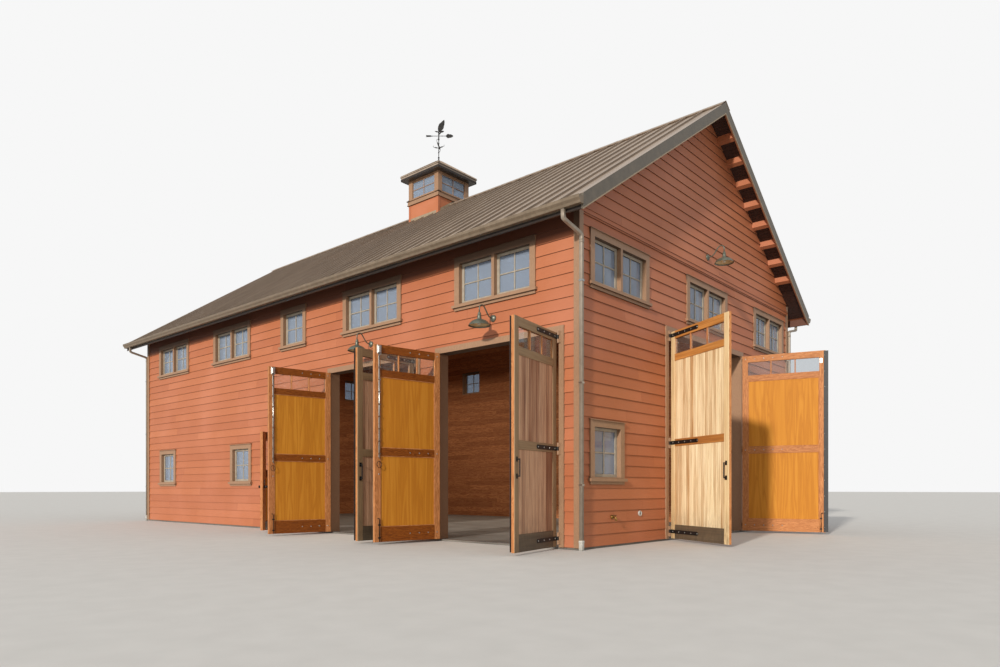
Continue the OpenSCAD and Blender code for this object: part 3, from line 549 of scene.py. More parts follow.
def cedar_material(name, pale, brown, aged, dirt):
    """Weathered cedar boards, each its own share of two stains; the colours go from dark to light."""
    n = Nodes(name)
    figure = n.noise(n.place("grain", (0.35, 14, 14)), 4, 5, 0.6, 0.6)
    pores = n.noise(n.place("grain", (2, 130, 130)), 3, 4, 0.65)
    streak = n.noise(n.place("grain", (0.25, 3, 3)), 2.2, 3, 0.5)
    light = n.ramp(figure, list(zip((0.28, 0.5, 0.8), pale)))
    dark = n.ramp(figure, list(zip((0.28, 0.5, 0.8), brown)))
    share = n.math("ADD", n.fit(n.tone(), 0.25, 0.95, -0.1, 0.8), n.fit(streak, 0.35, 0.65, -0.35, 0.35))
    board = n.mix(n.fit(share, 0, 1), light, dark)
    worn = n.mix(n.fit(pores, 0.5, 0.8, 0, 0.35), board, aged)
    n.bump(pores, 0.0008)
    return n.finish(ground_stain(n, worn, dirt), n.fit(pores, 0.2, 0.8, 0.5, 0.66))


def concrete_material():
    """Power-floated concrete floor with saw cuts."""
    n = Nodes("concrete")
    where = n.place()
    cloud = n.noise(where, 1.3, 5, 0.6)
    grit = n.noise(where, 190, 3, 0.6)
    base = n.ramp(cloud, [(0.3, (0.38, 0.36, 0.335)), (0.7, (0.50, 0.475, 0.445))])
    bays = n.add("ShaderNodeTexBrick", offset=0.0)
    for key, number in (("Scale", 1.0), ("Mortar Size", 0.004), ("Brick Width", 3.6),
                        ("Row Height", 3.6)):
        bays.inputs[key].default_value = number
    n.link(where, bays.inputs["Vector"])
    n.bump(grit, 0.0006)
    return n.finish(n.mix(bays.outputs["Fac"], base, (0.16, 0.15, 0.14)),
                    n.fit(cloud, 0.3, 0.7, 0.45, 0.7))


def glass_material(name, colour, through, gloss=0.8):
    """Window glass: the share that doesn't pass through shows its base colour, a painted reflection of a
    bright sky.
    """
    n = Nodes(name)
    s = n.shader.inputs
    s["Base Color"].default_value = (*linear(colour), 1)
    s["Roughness"].default_value = 0.02
    s["Transmission Weight"].default_value = through
    s["IOR"].default_value = 1.48
    s["Specular IOR Level"].default_value = gloss
    return n.mat


def plain_paint(name, colour, rough=0.4):
    """Enamel with a faint orange-peel."""
    n = Nodes(name)
    peel = n.noise(n.place(), 300, 2, 0.5)
    soil = n.noise(n.place(), 12, 4, 0.6)
    n.bump(peel, 0.00015)
    dull = tuple(c * 0.86 for c in colour)
    return n.finish(n.ramp(soil, [(0.35, dull), (0.7, colour)]), rough)


SIDING = siding_material()
TRIM = trim_material()
ROOF = roof_material()
SASH = plain_paint("sash_paint", (0.68, 0.635, 0.565), 0.42)
# A darkened copy of the siding's red: painted shade for the soffit boards under the eaves and rakes
SOFFIT = plain_paint("soffit_painted_shade", (0.22, 0.105, 0.065), 0.6)
RAKE = coated_metal("rake_coat", (0.38, 0.35, 0.305), (0.45, 0.415, 0.365))
# Near-black brown: painted shade on the eave fascia cover and the cupola's roof edge
DARK = coated_metal("edge_painted_shade", (0.13, 0.095, 0.075), (0.18, 0.14, 0.115), 0.5, 0.1)
GUTTER = coated_metal("gutter_coat", (0.45, 0.39, 0.32), (0.53, 0.465, 0.39))
PIPE = coated_metal("pipe_coat", (0.57, 0.52, 0.465), (0.65, 0.60, 0.54))
LAMP = coated_metal("lamp_coat", (0.36, 0.375, 0.33), (0.45, 0.46, 0.41), 0.38, 0.4)
CREAM = plain_paint("lamp_cream", (0.88, 0.76, 0.56), 0.35)
IRON = iron_material()
ZINC = bright_metal()
FIR = wood_material("fir_stiles", (0.60, 0.37, 0.20), (0.76, 0.50, 0.30), (0.83, 0.58, 0.37),
                    (0.60, 0.35, 0.19), 9, 0.3, 0.6, 0.03, 0.2)
RAIL = wood_material("fir_rails", (0.41, 0.205, 0.045), (0.53, 0.28, 0.065), (0.61, 0.345, 0.10),
                     (0.40, 0.195, 0.045), 9, 0.3, 0.6, 0.03, 0.2)
PLY = wood_material("ply_panel", (0.735, 0.47, 0.13), (0.785, 0.52, 0.155), (0.815, 0.555, 0.185),
                    (0.68, 0.40, 0.10), 3, 0.35, 0.62, 0.02, 0.08)
SIDE_BOARDS = cedar_material("side_boards",
                             ((0.57, 0.41, 0.31), (0.78, 0.60, 0.465), (0.91, 0.745, 0.60)),
                             ((0.37, 0.215, 0.14), (0.53, 0.33, 0.215), (0.65, 0.435, 0.30)),
                             (0.40, 0.31, 0.25), (0.36, 0.29, 0.23))
FRONT_BOARDS = cedar_material("front_boards",
                              ((0.77, 0.64, 0.46), (0.94, 0.86, 0.69), (0.99, 0.95, 0.83)),
                              ((0.48, 0.31, 0.15), (0.70, 0.51, 0.30), (0.87, 0.72, 0.50)),
                              (0.58, 0.45, 0.31), (0.38, 0.29, 0.20))
SIDE_SKIN = cedar_material("side_weathered",
                           ((0.49, 0.39, 0.275), (0.58, 0.47, 0.34), (0.65, 0.545, 0.41)),
                           ((0.43, 0.34, 0.24), (0.53, 0.42, 0.30), (0.60, 0.49, 0.36)),
                           (0.38, 0.31, 0.24), (0.34, 0.28, 0.21))
FRONT_SKIN = cedar_material("front_weathered",
                            ((0.77, 0.63, 0.44), (0.89, 0.78, 0.59), (0.96, 0.88, 0.71)),
                            ((0.64, 0.50, 0.32), (0.79, 0.66, 0.47), (0.88, 0.77, 0.58)),
                            (0.52, 0.40, 0.28), (0.38, 0.30, 0.22))
FRONT_RAIL = cedar_material("front_rail_weathered",
                            ((0.66, 0.43, 0.20), (0.78, 0.53, 0.26), (0.87, 0.64, 0.36)),
                            ((0.48, 0.28, 0.12), (0.60, 0.37, 0.16), (0.71, 0.47, 0.23)),
                            (0.46, 0.31, 0.18), (0.38, 0.29, 0.20))
LOW_SKIN = cedar_material("foot_weathered",
                          ((0.31, 0.26, 0.20), (0.39, 0.33, 0.25), (0.47, 0.40, 0.31)),
                          ((0.28, 0.23, 0.175), (0.36, 0.30, 0.225), (0.43, 0.36, 0.28)),
                          (0.24, 0.20, 0.16), (0.27, 0.225, 0.175))
LINING = wood_material("inside_boards", (0.54, 0.32, 0.19), (0.70, 0.45, 0.285), (0.77, 0.52, 0.34),
                       (0.46, 0.26, 0.155), 7, 0.5, 0.6, 0.03, 0.2)
CONCRETE = concrete_material()
# The window glass's pale blue is a painted reflection of the sky
GLASS = glass_material("window_glass", (0.69, 0.75, 0.83), 0.60)
CLEAR = glass_material("leaf_glass", (0.96, 0.975, 0.98), 0.97, 0.5)
FLASHING = coated_metal("flashing", (0.58, 0.51, 0.42), (0.66, 0.59, 0.49), 0.45, 0.2)
BOOT = plain_paint("white_boot", (0.80, 0.79, 0.76), 0.45)
BULB = plain_paint("frosted_bulb", (0.93, 0.90, 0.82), 0.25)
RUBBER = plain_paint("dark_seal", (0.17, 0.17, 0.175), 0.55)
BRASS = coated_metal("tap_brass", (0.55, 0.43, 0.22), (0.68, 0.55, 0.32), 0.35, 0.9)


def dress(material, *nodes):
    """Gives carried-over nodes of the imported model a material."""
    for name in nodes:
        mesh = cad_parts[name].data
        mesh.materials.clear()
        mesh.materials.append(material)


def dress_model():
    """Materials of the nodes that are kept as they are."""
    dress(SIDING, "left_wall_piers", "left_wall_upper", "left_wall_door_head", "front_wall_piers",
          "front_wall_gable", "right_wall", "rear_wall", "cupola_base")
    dress(SIDING, "lookouts", "roof_deck_left", "roof_deck_right")
    dress(TRIM, "window_frames", "wall_trim", "door_casings", "cupola_frames")
    dress(ROOF, "roof_panels", "ridge_cap", "cupola_roof")
    dress(GUTTER, "gutters")
    dress(IRON, "vane_mast", "wind_vane", "walk_door_hinges")
    dress(TRIM, "hinge_pintles")
    dress(IRON, *[k + "_straps" for k in LEAVES])
    dress(GLASS, "window_glass", "cupola_glass")
    dress(CLEAR, "walk_door_glass", *[k + "_glass" for k in LEAVES])
    dress(CONCRETE, "floor_slab")


# Siding

COURSE = 0.178
GABLE_COURSE = 0.171
FIRST_COURSE = 0.034
BUTT = 0.016
BOARD_LEN = 3.66
INSIDE_COURSE = 0.142
LINING_BOARD = 0.012


def spans(low, high, holes):
    """What is left of a stretch once the holes are taken out."""
    parts, at = [], low
    for a, b in sorted(holes):
        if a > at:
            parts.append((at, min(a, high)))
        at = max(at, b)
    if at < high:
        parts.append((at, high))
    return [(a, b) for a, b in parts if b - a > 0.004]


def joints(low, high, rng):
    """Board ends along a stretch, with the cuts of neighbouring courses apart."""
    cuts, at = [low], low + BOARD_LEN * (0.25 + 0.75 * rng.random())
    while at < high - 0.4:
        cuts.append(at)
        at += BOARD_LEN
    return list(zip(cuts, cuts[1:] + [high]))


def lay_courses(shape, half, z_low, z_high, step, holes, reach=None, inside=False):
    """Boards in courses between two heights: half is the wall's half width, reach gives the half
    width left at a height under a sloping roof. Outside they lap, inside they lie flat."""
    z = z_low
    back = WALL_T + SIDING_T - 0.001 if inside else SIDING_T
    groove = 0.004 if inside else 0
    while z < z_high - 0.01:
        top = min(z + step, z_high)
        breaks = sorted({z, top} | {e for h in holes for e in h[2:] if z + 0.003 < e < top - 0.003})
        course_rng = random.Random(round(z * 1000) + 7)
        boards = joints(-half, half, course_rng)
        tones = [course_rng.random() for _ in boards]
        for low, high in zip(breaks, breaks[1:]):
            gone = [(h[0], h[1]) for h in holes if h[2] < high - 0.001 and h[3] > low + 0.001]
            y_low = back + LINING_BOARD if inside else BUTT * (low - z) / step
            y_high = back + LINING_BOARD if inside else BUTT * (high - z) / step
            high = high - groove if high == top else high
            for (a, b), tone in zip(boards, tones):
                for c, d in spans(a, b, gone):
                    reach_low = reach(low) if reach else half
                    reach_high = reach(high) if reach else half
                    x0, x1 = max(c + 0.001, -reach_low), min(d - 0.001, reach_low)
                    x2, x3 = min(d - 0.001, reach_high), max(c + 0.001, -reach_high)
                    if x1 - x0 < 0.01:
                        continue
                    if x2 < x3:
                        x2 = x3 = (x2 + x3) / 2
                    points = [(x0, y_low, low), (x1, y_low, low), (x1, back, low), (x0, back, low),
                              (x3, y_high, high), (x2, y_high, high), (x2, back, high),
                              (x3, back, high)]
                    shape.solid(points, BOX_FACES, 0, tone)
        z += step


def wall_holes(side, casing, side_room, head_room):
    """Windows less their casing, and doorways with room beside and above them."""
    holes = []
    for pos, w, (low, high) in WINDOWS[side]:
        x, half = local_x(side, pos), w / 2 - casing
        holes.append((x - half, x + half, low + casing, high - casing))
    for pos, w, head in DOORWAYS[side]:
        x = local_x(side, pos)
        holes.append((x - w / 2 - side_room, x + w / 2 + side_room, 0, head + head_room))
    return holes


def gable_reach(limit, depth):
    """Gives the half width of a gable at a height, under the surface depth below the metal."""
    return lambda z: max(0.0, min(limit, EAVE_X - (z + depth * PLUMB - EAVE_Z) / SLOPE))


def lining():
    """Boards on the inner faces of the walls and under the roof."""
    shape = Shape(seed=60)
    jamb = 0.022
    for side, _ in SIDES:
        shape.matrix = side_frame(side, 0)
        holes = wall_holes(side, CASING_W, jamb, jamb)
        if side in (FRONT, REAR):
            half = INNER_W - LINING_BOARD
            top, reach = under_roof(0.1, CEILING_DEPTH), gable_reach(half, CEILING_DEPTH)
        else:
            half = INNER_L
            top, reach = under_roof(INNER_W, CEILING_DEPTH), None
        lay_courses(shape, half, SLAB_H, top, INSIDE_COURSE, holes, reach, True)
    shape.build("wall_lining", [LINING], "building")
    shape = Shape(seed=61)
    across = 0.14
    rows = int(INNER_W * PLUMB / across)
    for sx in (-1, 1):
        for i in range(rows):
            x = (i + 0.5) * across / PLUMB
            z = under_roof(x, CEILING_DEPTH - 0.001)
            for a, b in joints(-INNER_L, INNER_L, shape.rng):
                shape.beam((sx * x, a, z), (sx * x, b, z), across - 0.004, LINING_BOARD,
                           -slope_normal(sx))
    shape.build("ceiling_boards", [LINING], "building")


def siding():
    """Lapped boards on all four walls, with the belt across each gable."""
    for side, name in SIDES:
        shape = Shape(side_frame(side, 0), seed=side + 10)
        holes = wall_holes(side, 0, BOARD_W, HEAD_BOARD)
        if side in (FRONT, REAR):
            lay_courses(shape, HALF_W - BOARD_W, FIRST_COURSE, BELT_Z[0], COURSE, holes)
            reach = gable_reach(HALF_W - SIDING_T, DECK_DEPTH)
            lay_courses(shape, HALF_W - SIDING_T, BELT_Z[1], under_roof(0, DECK_DEPTH), GABLE_COURSE,
                        [], reach)
            low, high = BELT_Z
            shape.prism([(-0.004, low - 0.024), (-0.004, low), (SIDING_T, low), (SIDING_T, low - 0.024)],
                        0, BOARD_W - HALF_W, HALF_W - BOARD_W)
            shape.prism([(-0.016, low), (-0.016, high - 0.014), (-0.026, high - 0.014),
                         (-0.026, high - 0.003), (0, high + 0.008), (0, low)],
                        0, -reach(low), reach(low))
        else:
            lay_courses(shape, HALF_L - BOARD_W, FIRST_COURSE, WALL_TOP, COURSE, holes)
        shape.build("siding_" + name, [SIDING], "building")


# Window bars

def light_places(w):
    """Clear width and centres of the one or two lights of a window."""
    count = 2 if w > 1.5 * SINGLE_W else 1
    clear = (w - 2 * CASING_W - 2 * LINING_T - (count - 1) * MULLION_W) / count
    return clear, [(i - (count - 1) / 2) * (clear + MULLION_W) for i in range(count)]


def window_bars():
    """Sash frames and bars of every window, and the drip cap over its casing."""
    for side, name in SIDES:
        shape = Shape(seed=side + 20)
        for pos, w, (low, high) in WINDOWS[side]:
            shape.matrix = side_frame(side, pos)
            clear, places = light_places(w)
            z0, z1 = low + CASING_W + LINING_T + SASH_W, high - CASING_W - LINING_T - SASH_W
            mid = (z0 + z1) / 2
            y0, y1 = SASH_Y + 0.004, SASH_Y + SASH_T - 0.004
            bar = 0.011
            for x in places:
                half = clear / 2 - SASH_W
                shape.box((x - half, y0, mid - bar), (x + half, y1, mid + bar), 0, slot=1, edge=0.004)
                shape.box((x - bar, y0 - 0.001, z0), (x + bar, y1 + 0.001, z1), 2, slot=1, edge=0.004)
                for s in (-1, 1):
                    a, b = sorted((x + s * (half - 0.008), x + s * clear / 2))
                    shape.box((a, SASH_Y - 0.002, z0 - SASH_W), (b, SASH_Y + 0.016, z1 + SASH_W), 2,
                              slot=1, edge=0.003)
                for a, b in ((z0 - SASH_W, z0), (z1, z1 + SASH_W)):
                    shape.box((x - half + 0.008, SASH_Y - 0.002, a),
                              (x + half - 0.008, SASH_Y + 0.016, b), 0, slot=1, edge=0.003)
            shape.prism([(-TRIM_FACE - 0.022, high - 0.004), (SIDING_T, high + 0.014),
                         (SIDING_T, high + 0.010), (-TRIM_FACE - 0.022, high - 0.010)],
                        0, -w / 2 - 0.012, w / 2 + 0.012)
        shape.build("window_bars_" + name, [TRIM, SASH], "building")


# Door leaves: side, place, clear width, hand, angle at rest and height

SIDE_LEAF_H = 3.214
FRONT_LEAF_H = 3.616
PANEL_BOARD = 0.107
LEAVES = {
    "far_left": (LEFT, FAR_Y, SIDE_DOOR_W, 1, 99, SIDE_LEAF_H),
    "far_right": (LEFT, FAR_Y, SIDE_DOOR_W, -1, 92, SIDE_LEAF_H),
    "near_left": (LEFT, NEAR_Y, SIDE_DOOR_W, 1, 99, SIDE_LEAF_H),
    "near_right": (LEFT, NEAR_Y, SIDE_DOOR_W, -1, 101, SIDE_LEAF_H),
    "front_left": (FRONT, 0, FRONT_DOOR_W, 1, 119, FRONT_LEAF_H),
    "front_right": (FRONT, 0, FRONT_DOOR_W, -1, 105, FRONT_LEAF_H),
}


def hang(side, pos, opening, hand, angle):
    """The frame of a leaf at rest: pivot at the origin, closed leaf along +x, +y inwards."""
    flip = Matrix.Diagonal((hand, 1, 1, 1))
    move = Matrix.Translation((-opening / 2 + 0.002, -TRIM_FACE - PIVOT_OUT, 0))
    return side_frame(side, pos) @ flip @ move @ Matrix.Rotation(math.radians(-angle), 4, "Z")


def panel_height(h):
    return (h - BOTTOM_RAIL - LOCK_RAIL - LITE_RAIL - LITE_H - TOP_RAIL) / 2


def bolt(shape, x, y, z, out, r=0.011, slot=0):
    """A domed bolt head on a face; out is -1 on the outer face, 1 on the inner one."""
    h = 0.007 * out
    shape.spin([(0, h), (r * 0.6, h * 0.85), (r, h * 0.25), (r, 0), (0, 0)], (x, y, z), 1, 10, slot)


def framing(shape, low, high, along, skin_slot, slot, ease=0.003):
    """A stile or rail in two layers, a weathered outer face on clear timber; long edges eased."""
    (x0, y0, z0), (x1, y1, z1) = low, high
    mid = y0 + 0.012
    a0, a1, start, end = (x0, x1, z0, z1) if along == 2 else (z0, z1, x0, x1)
    outside = [(a0, mid), (a0, y0 + ease), (a0 + ease, y0), (a1 - ease, y0), (a1, y0 + ease), (a1, mid)]
    inside = [(a1, mid), (a1, y1 - ease), (a1 - ease, y1), (a0 + ease, y1), (a0, y1 - ease), (a0, mid)]
    tone = shape.rng.random()
    for ring, s in ((outside, skin_slot), (inside, slot)):
        shape.prism(ring if along == 2 else [(b, a) for a, b in ring], along, start, end, tone, s)


def leaf(name, side, pos, opening, hand, angle, h):
    """A framed leaf: boards outside, panels and beads inside, and a row of three lights."""
    w = (opening - 2 * (LEAF_GAP + 0.002) - 0.010) / 2
    place = hang(side, pos, opening, hand, angle) @ Matrix.Translation((LEAF_GAP, 0, 0))
    outer, inner = PIVOT_OUT, PIVOT_OUT + LEAF_T
    shape = Shape(place, seed=len(name) * 31 + int(angle))
    zs = [LEAF_LIFT, LEAF_LIFT + BOTTOM_RAIL]
    zs += [zs[1] + panel_height(h), zs[1] + panel_height(h) + LOCK_RAIL]
    zs += [zs[3] + panel_height(h), zs[3] + panel_height(h) + LITE_RAIL]
    zs += [zs[5] + LITE_H, LEAF_LIFT + h]
    for x0, x1 in ((0, STILE_W), (w - STILE_W, w)):
        framing(shape, (x0, outer, zs[0]), (x1, inner, zs[7]), 2, 4, 0)
    for low, high in ((zs[0], zs[1]), (zs[2], zs[3]), (zs[4], zs[5]), (zs[6], zs[7])):
        framing(shape, (STILE_W, outer, low), (w - STILE_W, inner, high), 0, 5 if low == zs[0] else 6, 3)
    lite = (w - 2 * STILE_W - 2 * BAR_W) / 3
    for i in (1, 2):
        x = STILE_W + i * lite + (i - 1) * BAR_W
        shape.box((x, outer + 0.006, zs[5]), (x + BAR_W, inner - 0.006, zs[6]), 2, edge=0.003)
    for low, high in ((zs[1], zs[2]), (zs[3], zs[4])):
        count = round((w - 2 * STILE_W) / PANEL_BOARD)
        step = (w - 2 * STILE_W) / count
        for i in range(count):
            x = STILE_W + i * step
            v = 0.005
            shape.prism([(x, outer + 0.030), (x, outer + 0.012 + v), (x + v, outer + 0.012),
                         (x + step - v, outer + 0.012), (x + step, outer + 0.012 + v),
                         (x + step, outer + 0.030)], 2, low, high, None, 1)
        shape.box((STILE_W, outer + 0.030, low), (w - STILE_W, inner - 0.009, high), 2,
                  tone=shape.rng.random() * 0.6, slot=2)
        shape.surround((STILE_W, low), (w - STILE_W, high), inner - 0.009, inner - 0.002, 0.014,
                       edge=0.002)
    boards, skin = (FRONT_BOARDS, FRONT_SKIN) if side == FRONT else (SIDE_BOARDS, SIDE_SKIN)
    rails = FIR if name == "front_right" else RAIL
    rail_skin = FRONT_RAIL if side == FRONT else skin
    shape.build(name + "_timber", [FIR, boards, PLY, rails, skin, LOW_SKIN, rail_skin], name + "_door",
                (name + "_leaf",))
    leaf_fittings(name, place, w, zs, hand, inner)


def leaf_fittings(name, place, w, zs, hand, inner):
    """Strap bolts through the rails; on a left leaf a surface bolt and a foot bolt, on a right
    leaf the strip that laps behind its neighbour."""
    shape = Shape(place, seed=3)
    tall = w > 1.4
    first, pitch, bolts = (0.062, 0.1775, 5) if tall else (0.060, 0.182, 4)
    for z in ((zs[0] + zs[1]) / 2, (zs[2] + zs[3]) / 2, (zs[6] + zs[7]) / 2):
        for k in range(bolts):
            bolt(shape, first + k * pitch, PIVOT_OUT - 0.007, z, -1)
            bolt(shape, first + k * pitch, inner, z, 1, 0.0125)
    top = zs[7]
    if hand == 1:
        x, face = w - 0.084, inner
        cap = top - 0.012 - 0.137
        shape.box((x - 0.040, face, cap), (x + 0.040, face + 0.010, top - 0.012), 2, edge=0.004)
        shape.box((x - 0.026, face + 0.010, cap + 0.018), (x + 0.026, face + 0.030, top - 0.030), 2,
                  edge=0.005)
        for dx in (-0.031, 0.031):
            for z in (cap + 0.014, top - 0.026):
                bolt(shape, x + dx, face + 0.010, z, 1, 0.005)
        shape.box((x - 0.013, face, zs[2] - 0.03), (x + 0.013, face + 0.004, cap), 2, edge=0.001)
        shape.tube([(x, face + 0.013, zs[2] - 0.05), (x, face + 0.013, cap + 0.02)], 0.0075)
        for i in range(9):
            z = zs[2] + 0.02 + i * (cap - 0.05 - zs[2]) / 8
            shape.box((x - 0.019, face, z), (x + 0.019, face + 0.022, z + 0.022), 0, edge=0.002)
        ring = [(x + 0.010 + 0.042 * math.sin(t), face + 0.012 + 0.020 * math.sin(t / 2),
                 zs[2] - 0.145 + 0.055 * math.cos(t)) for t in [k * math.pi / 8 for k in range(17)]]
        shape.tube(ring, 0.0045, 8, 1)
        bolt(shape, x, face, zs[2] - 0.30, 1, 0.013)
    else:
        lap = 0.052 if tall else 0.026
        shape.box((w - 0.028, inner, LEAF_LIFT + 0.012), (w - 0.002, inner + 0.004, top - 0.012), 2,
                  slot=2)
        shape.box((w - 0.030, inner + 0.004, LEAF_LIFT + 0.010), (w + lap, inner + 0.009, top - 0.010),
                  2, slot=2, edge=0.001)
        count = 12
        for i in range(count):
            z = LEAF_LIFT + 0.10 + i * (top - LEAF_LIFT - 0.2) / (count - 1)
            bolt(shape, w - 0.014, inner + 0.009, z, 1, 0.007)
        x, face = w - 0.078, inner
        shape.box((x - 0.024, face, top - 0.245), (x + 0.024, face + 0.006, top - 0.155), 2, edge=0.002)
        for z in (top - 0.232, top - 0.168):
            bolt(shape, x, face + 0.006, z, 1, 0.006)
    if hand == 1 or tall:
        shape.tube([(x, face + 0.014, LEAF_LIFT + 0.004), (x, face + 0.014, 0.40),
                    (x + 0.012, face + 0.022, 0.425), (x + 0.040, face + 0.028, 0.425)], 0.007, 10, 1)
        for z in (0.10, 0.31):
            shape.box((x - 0.020, face, z), (x + 0.020, face + 0.024, z + 0.020), 0, slot=1, edge=0.002)
    shape.build(name + "_bolts", [ZINC, IRON, RUBBER], name + "_door")


# Lamps

LAMP_PLACES = ((LEFT, NEAR_WINDOW_Y, 3.680), (LEFT, FAR_Y, 3.680), (FRONT, 0, 5.360))
LAMP_REACH = 0.300
ARM_OUT = 0.030
LAMP_TUBE = 0.011
SHADE_RIM = -0.170
SHADE_OUTER = [(0.013, 0.214), (0.019, 0.211), (0.023, 0.206), (0.0245, 0.199), (0.027, 0.190),
               (0.029, 0.172), (0.032, 0.170), (0.0325, 0.163), (0.030, 0.161), (0.031, 0.150),
               (0.033, 0.126), (0.037, 0.106), (0.040, 0.100), (0.050, 0.0975), (0.062, 0.095),
               (0.077, 0.0895), (0.092, 0.082), (0.108, 0.0745), (0.124, 0.066), (0.138, 0.055),
               (0.150, 0.042), (0.159, 0.031), (0.166, 0.020), (0.1725, 0.009), (0.178, 0.000),
               (0.1795, -0.0025), (0.1775, -0.0045), (0.1745, -0.0035), (0.174, 0.000)]
SHADE_INNER = [(0.162, 0.019), (0.146, 0.040), (0.134, 0.052), (0.121, 0.062), (0.106, 0.071),
               (0.090, 0.078), (0.075, 0.0855), (0.060, 0.091), (0.030, 0.096)]


def lamps():
    """Gooseneck lamps: a domed plate, a bent arm, and a necked shade with a cream inside."""
    shape = Shape(seed=70)
    bend, drop = math.radians(37), 0.068
    elbow = (0.232, 0.1023)
    for side, pos, z in LAMP_PLACES:
        shape.matrix = side_frame(side, pos) @ Matrix.Translation((0, 0, z))
        shape.spin([(0, -0.034), (0.016, -0.034), (0.022, -0.031), (0.029, -0.028), (0.040, -0.0235),
                    (0.048, -0.018), (0.054, -0.012), (0.058, -0.006), (0.058, SIDING_T), (0, SIDING_T)],
                   (0, 0, 0), 1, 36)
        for sz in (-1, 1):
            bolt(shape, 0, -0.0215, sz * 0.043, -1, 0.0055)
        low = [(0.140 * math.sin(t), 0.140 - 0.140 * math.cos(t))
               for t in [(math.pi / 2 - bend) * k / 8 for k in range(9)]]
        high = [(elbow[0] + drop * math.cos(t), elbow[1] + drop * math.sin(t))
                for t in [(math.pi - bend) * (1 - k / 16) for k in range(17)]]
        arm = low + high + [(LAMP_REACH, 0.042)]
        shape.tube([(0, -ARM_OUT + 0.006, 0)] + [(0, -ARM_OUT - d, h) for d, h in arm], LAMP_TUBE, 16)
        shape.matrix = shape.matrix @ Matrix.Translation((0, -ARM_OUT - LAMP_REACH, SHADE_RIM))
        shape.spin([(0, 0.214)] + SHADE_OUTER + SHADE_INNER + [(0, 0.096)], (0, 0, 0), 2, 48)
        liner = [(r - 0.0012, h - 0.0012) for r, h in SHADE_INNER]
        under = [(r - 0.0012, h - 0.0014) for r, h in liner]
        shape.spin(liner + under[::-1], (0, 0, 0), 2, 48, 1)
        shape.spin([(0, 0.093), (0.022, 0.092), (0.024, 0.088), (0.024, 0.066), (0.021, 0.063),
                    (0, 0.063)], (0, 0, 0), 2, 24, 1)
        shape.spin([(0, 0.065), (0.013, 0.062), (0.024, 0.050), (0.030, 0.034), (0.028, 0.020),
                    (0.018, 0.010), (0.008, 0.0065), (0, 0.006)], (0, 0, 0), 2, 24, 2)
    shape.build("barn_lamps", [LAMP, CREAM, BULB], "building", ("gooseneck_lamps",))


# Cupola and vane

CUPOLA = 0.545
CUPOLA_BASE = 8.270
CUPOLA_LOW = 8.390
CUPOLA_HEAD = 8.900
CUPOLA_PEAK = 9.490
CUPOLA_EDGE = CUPOLA + 0.150
MAST_FOOT = 0.030


def turned(quarter):
    return Matrix.Rotation(math.radians(90 * quarter), 4, "Z")


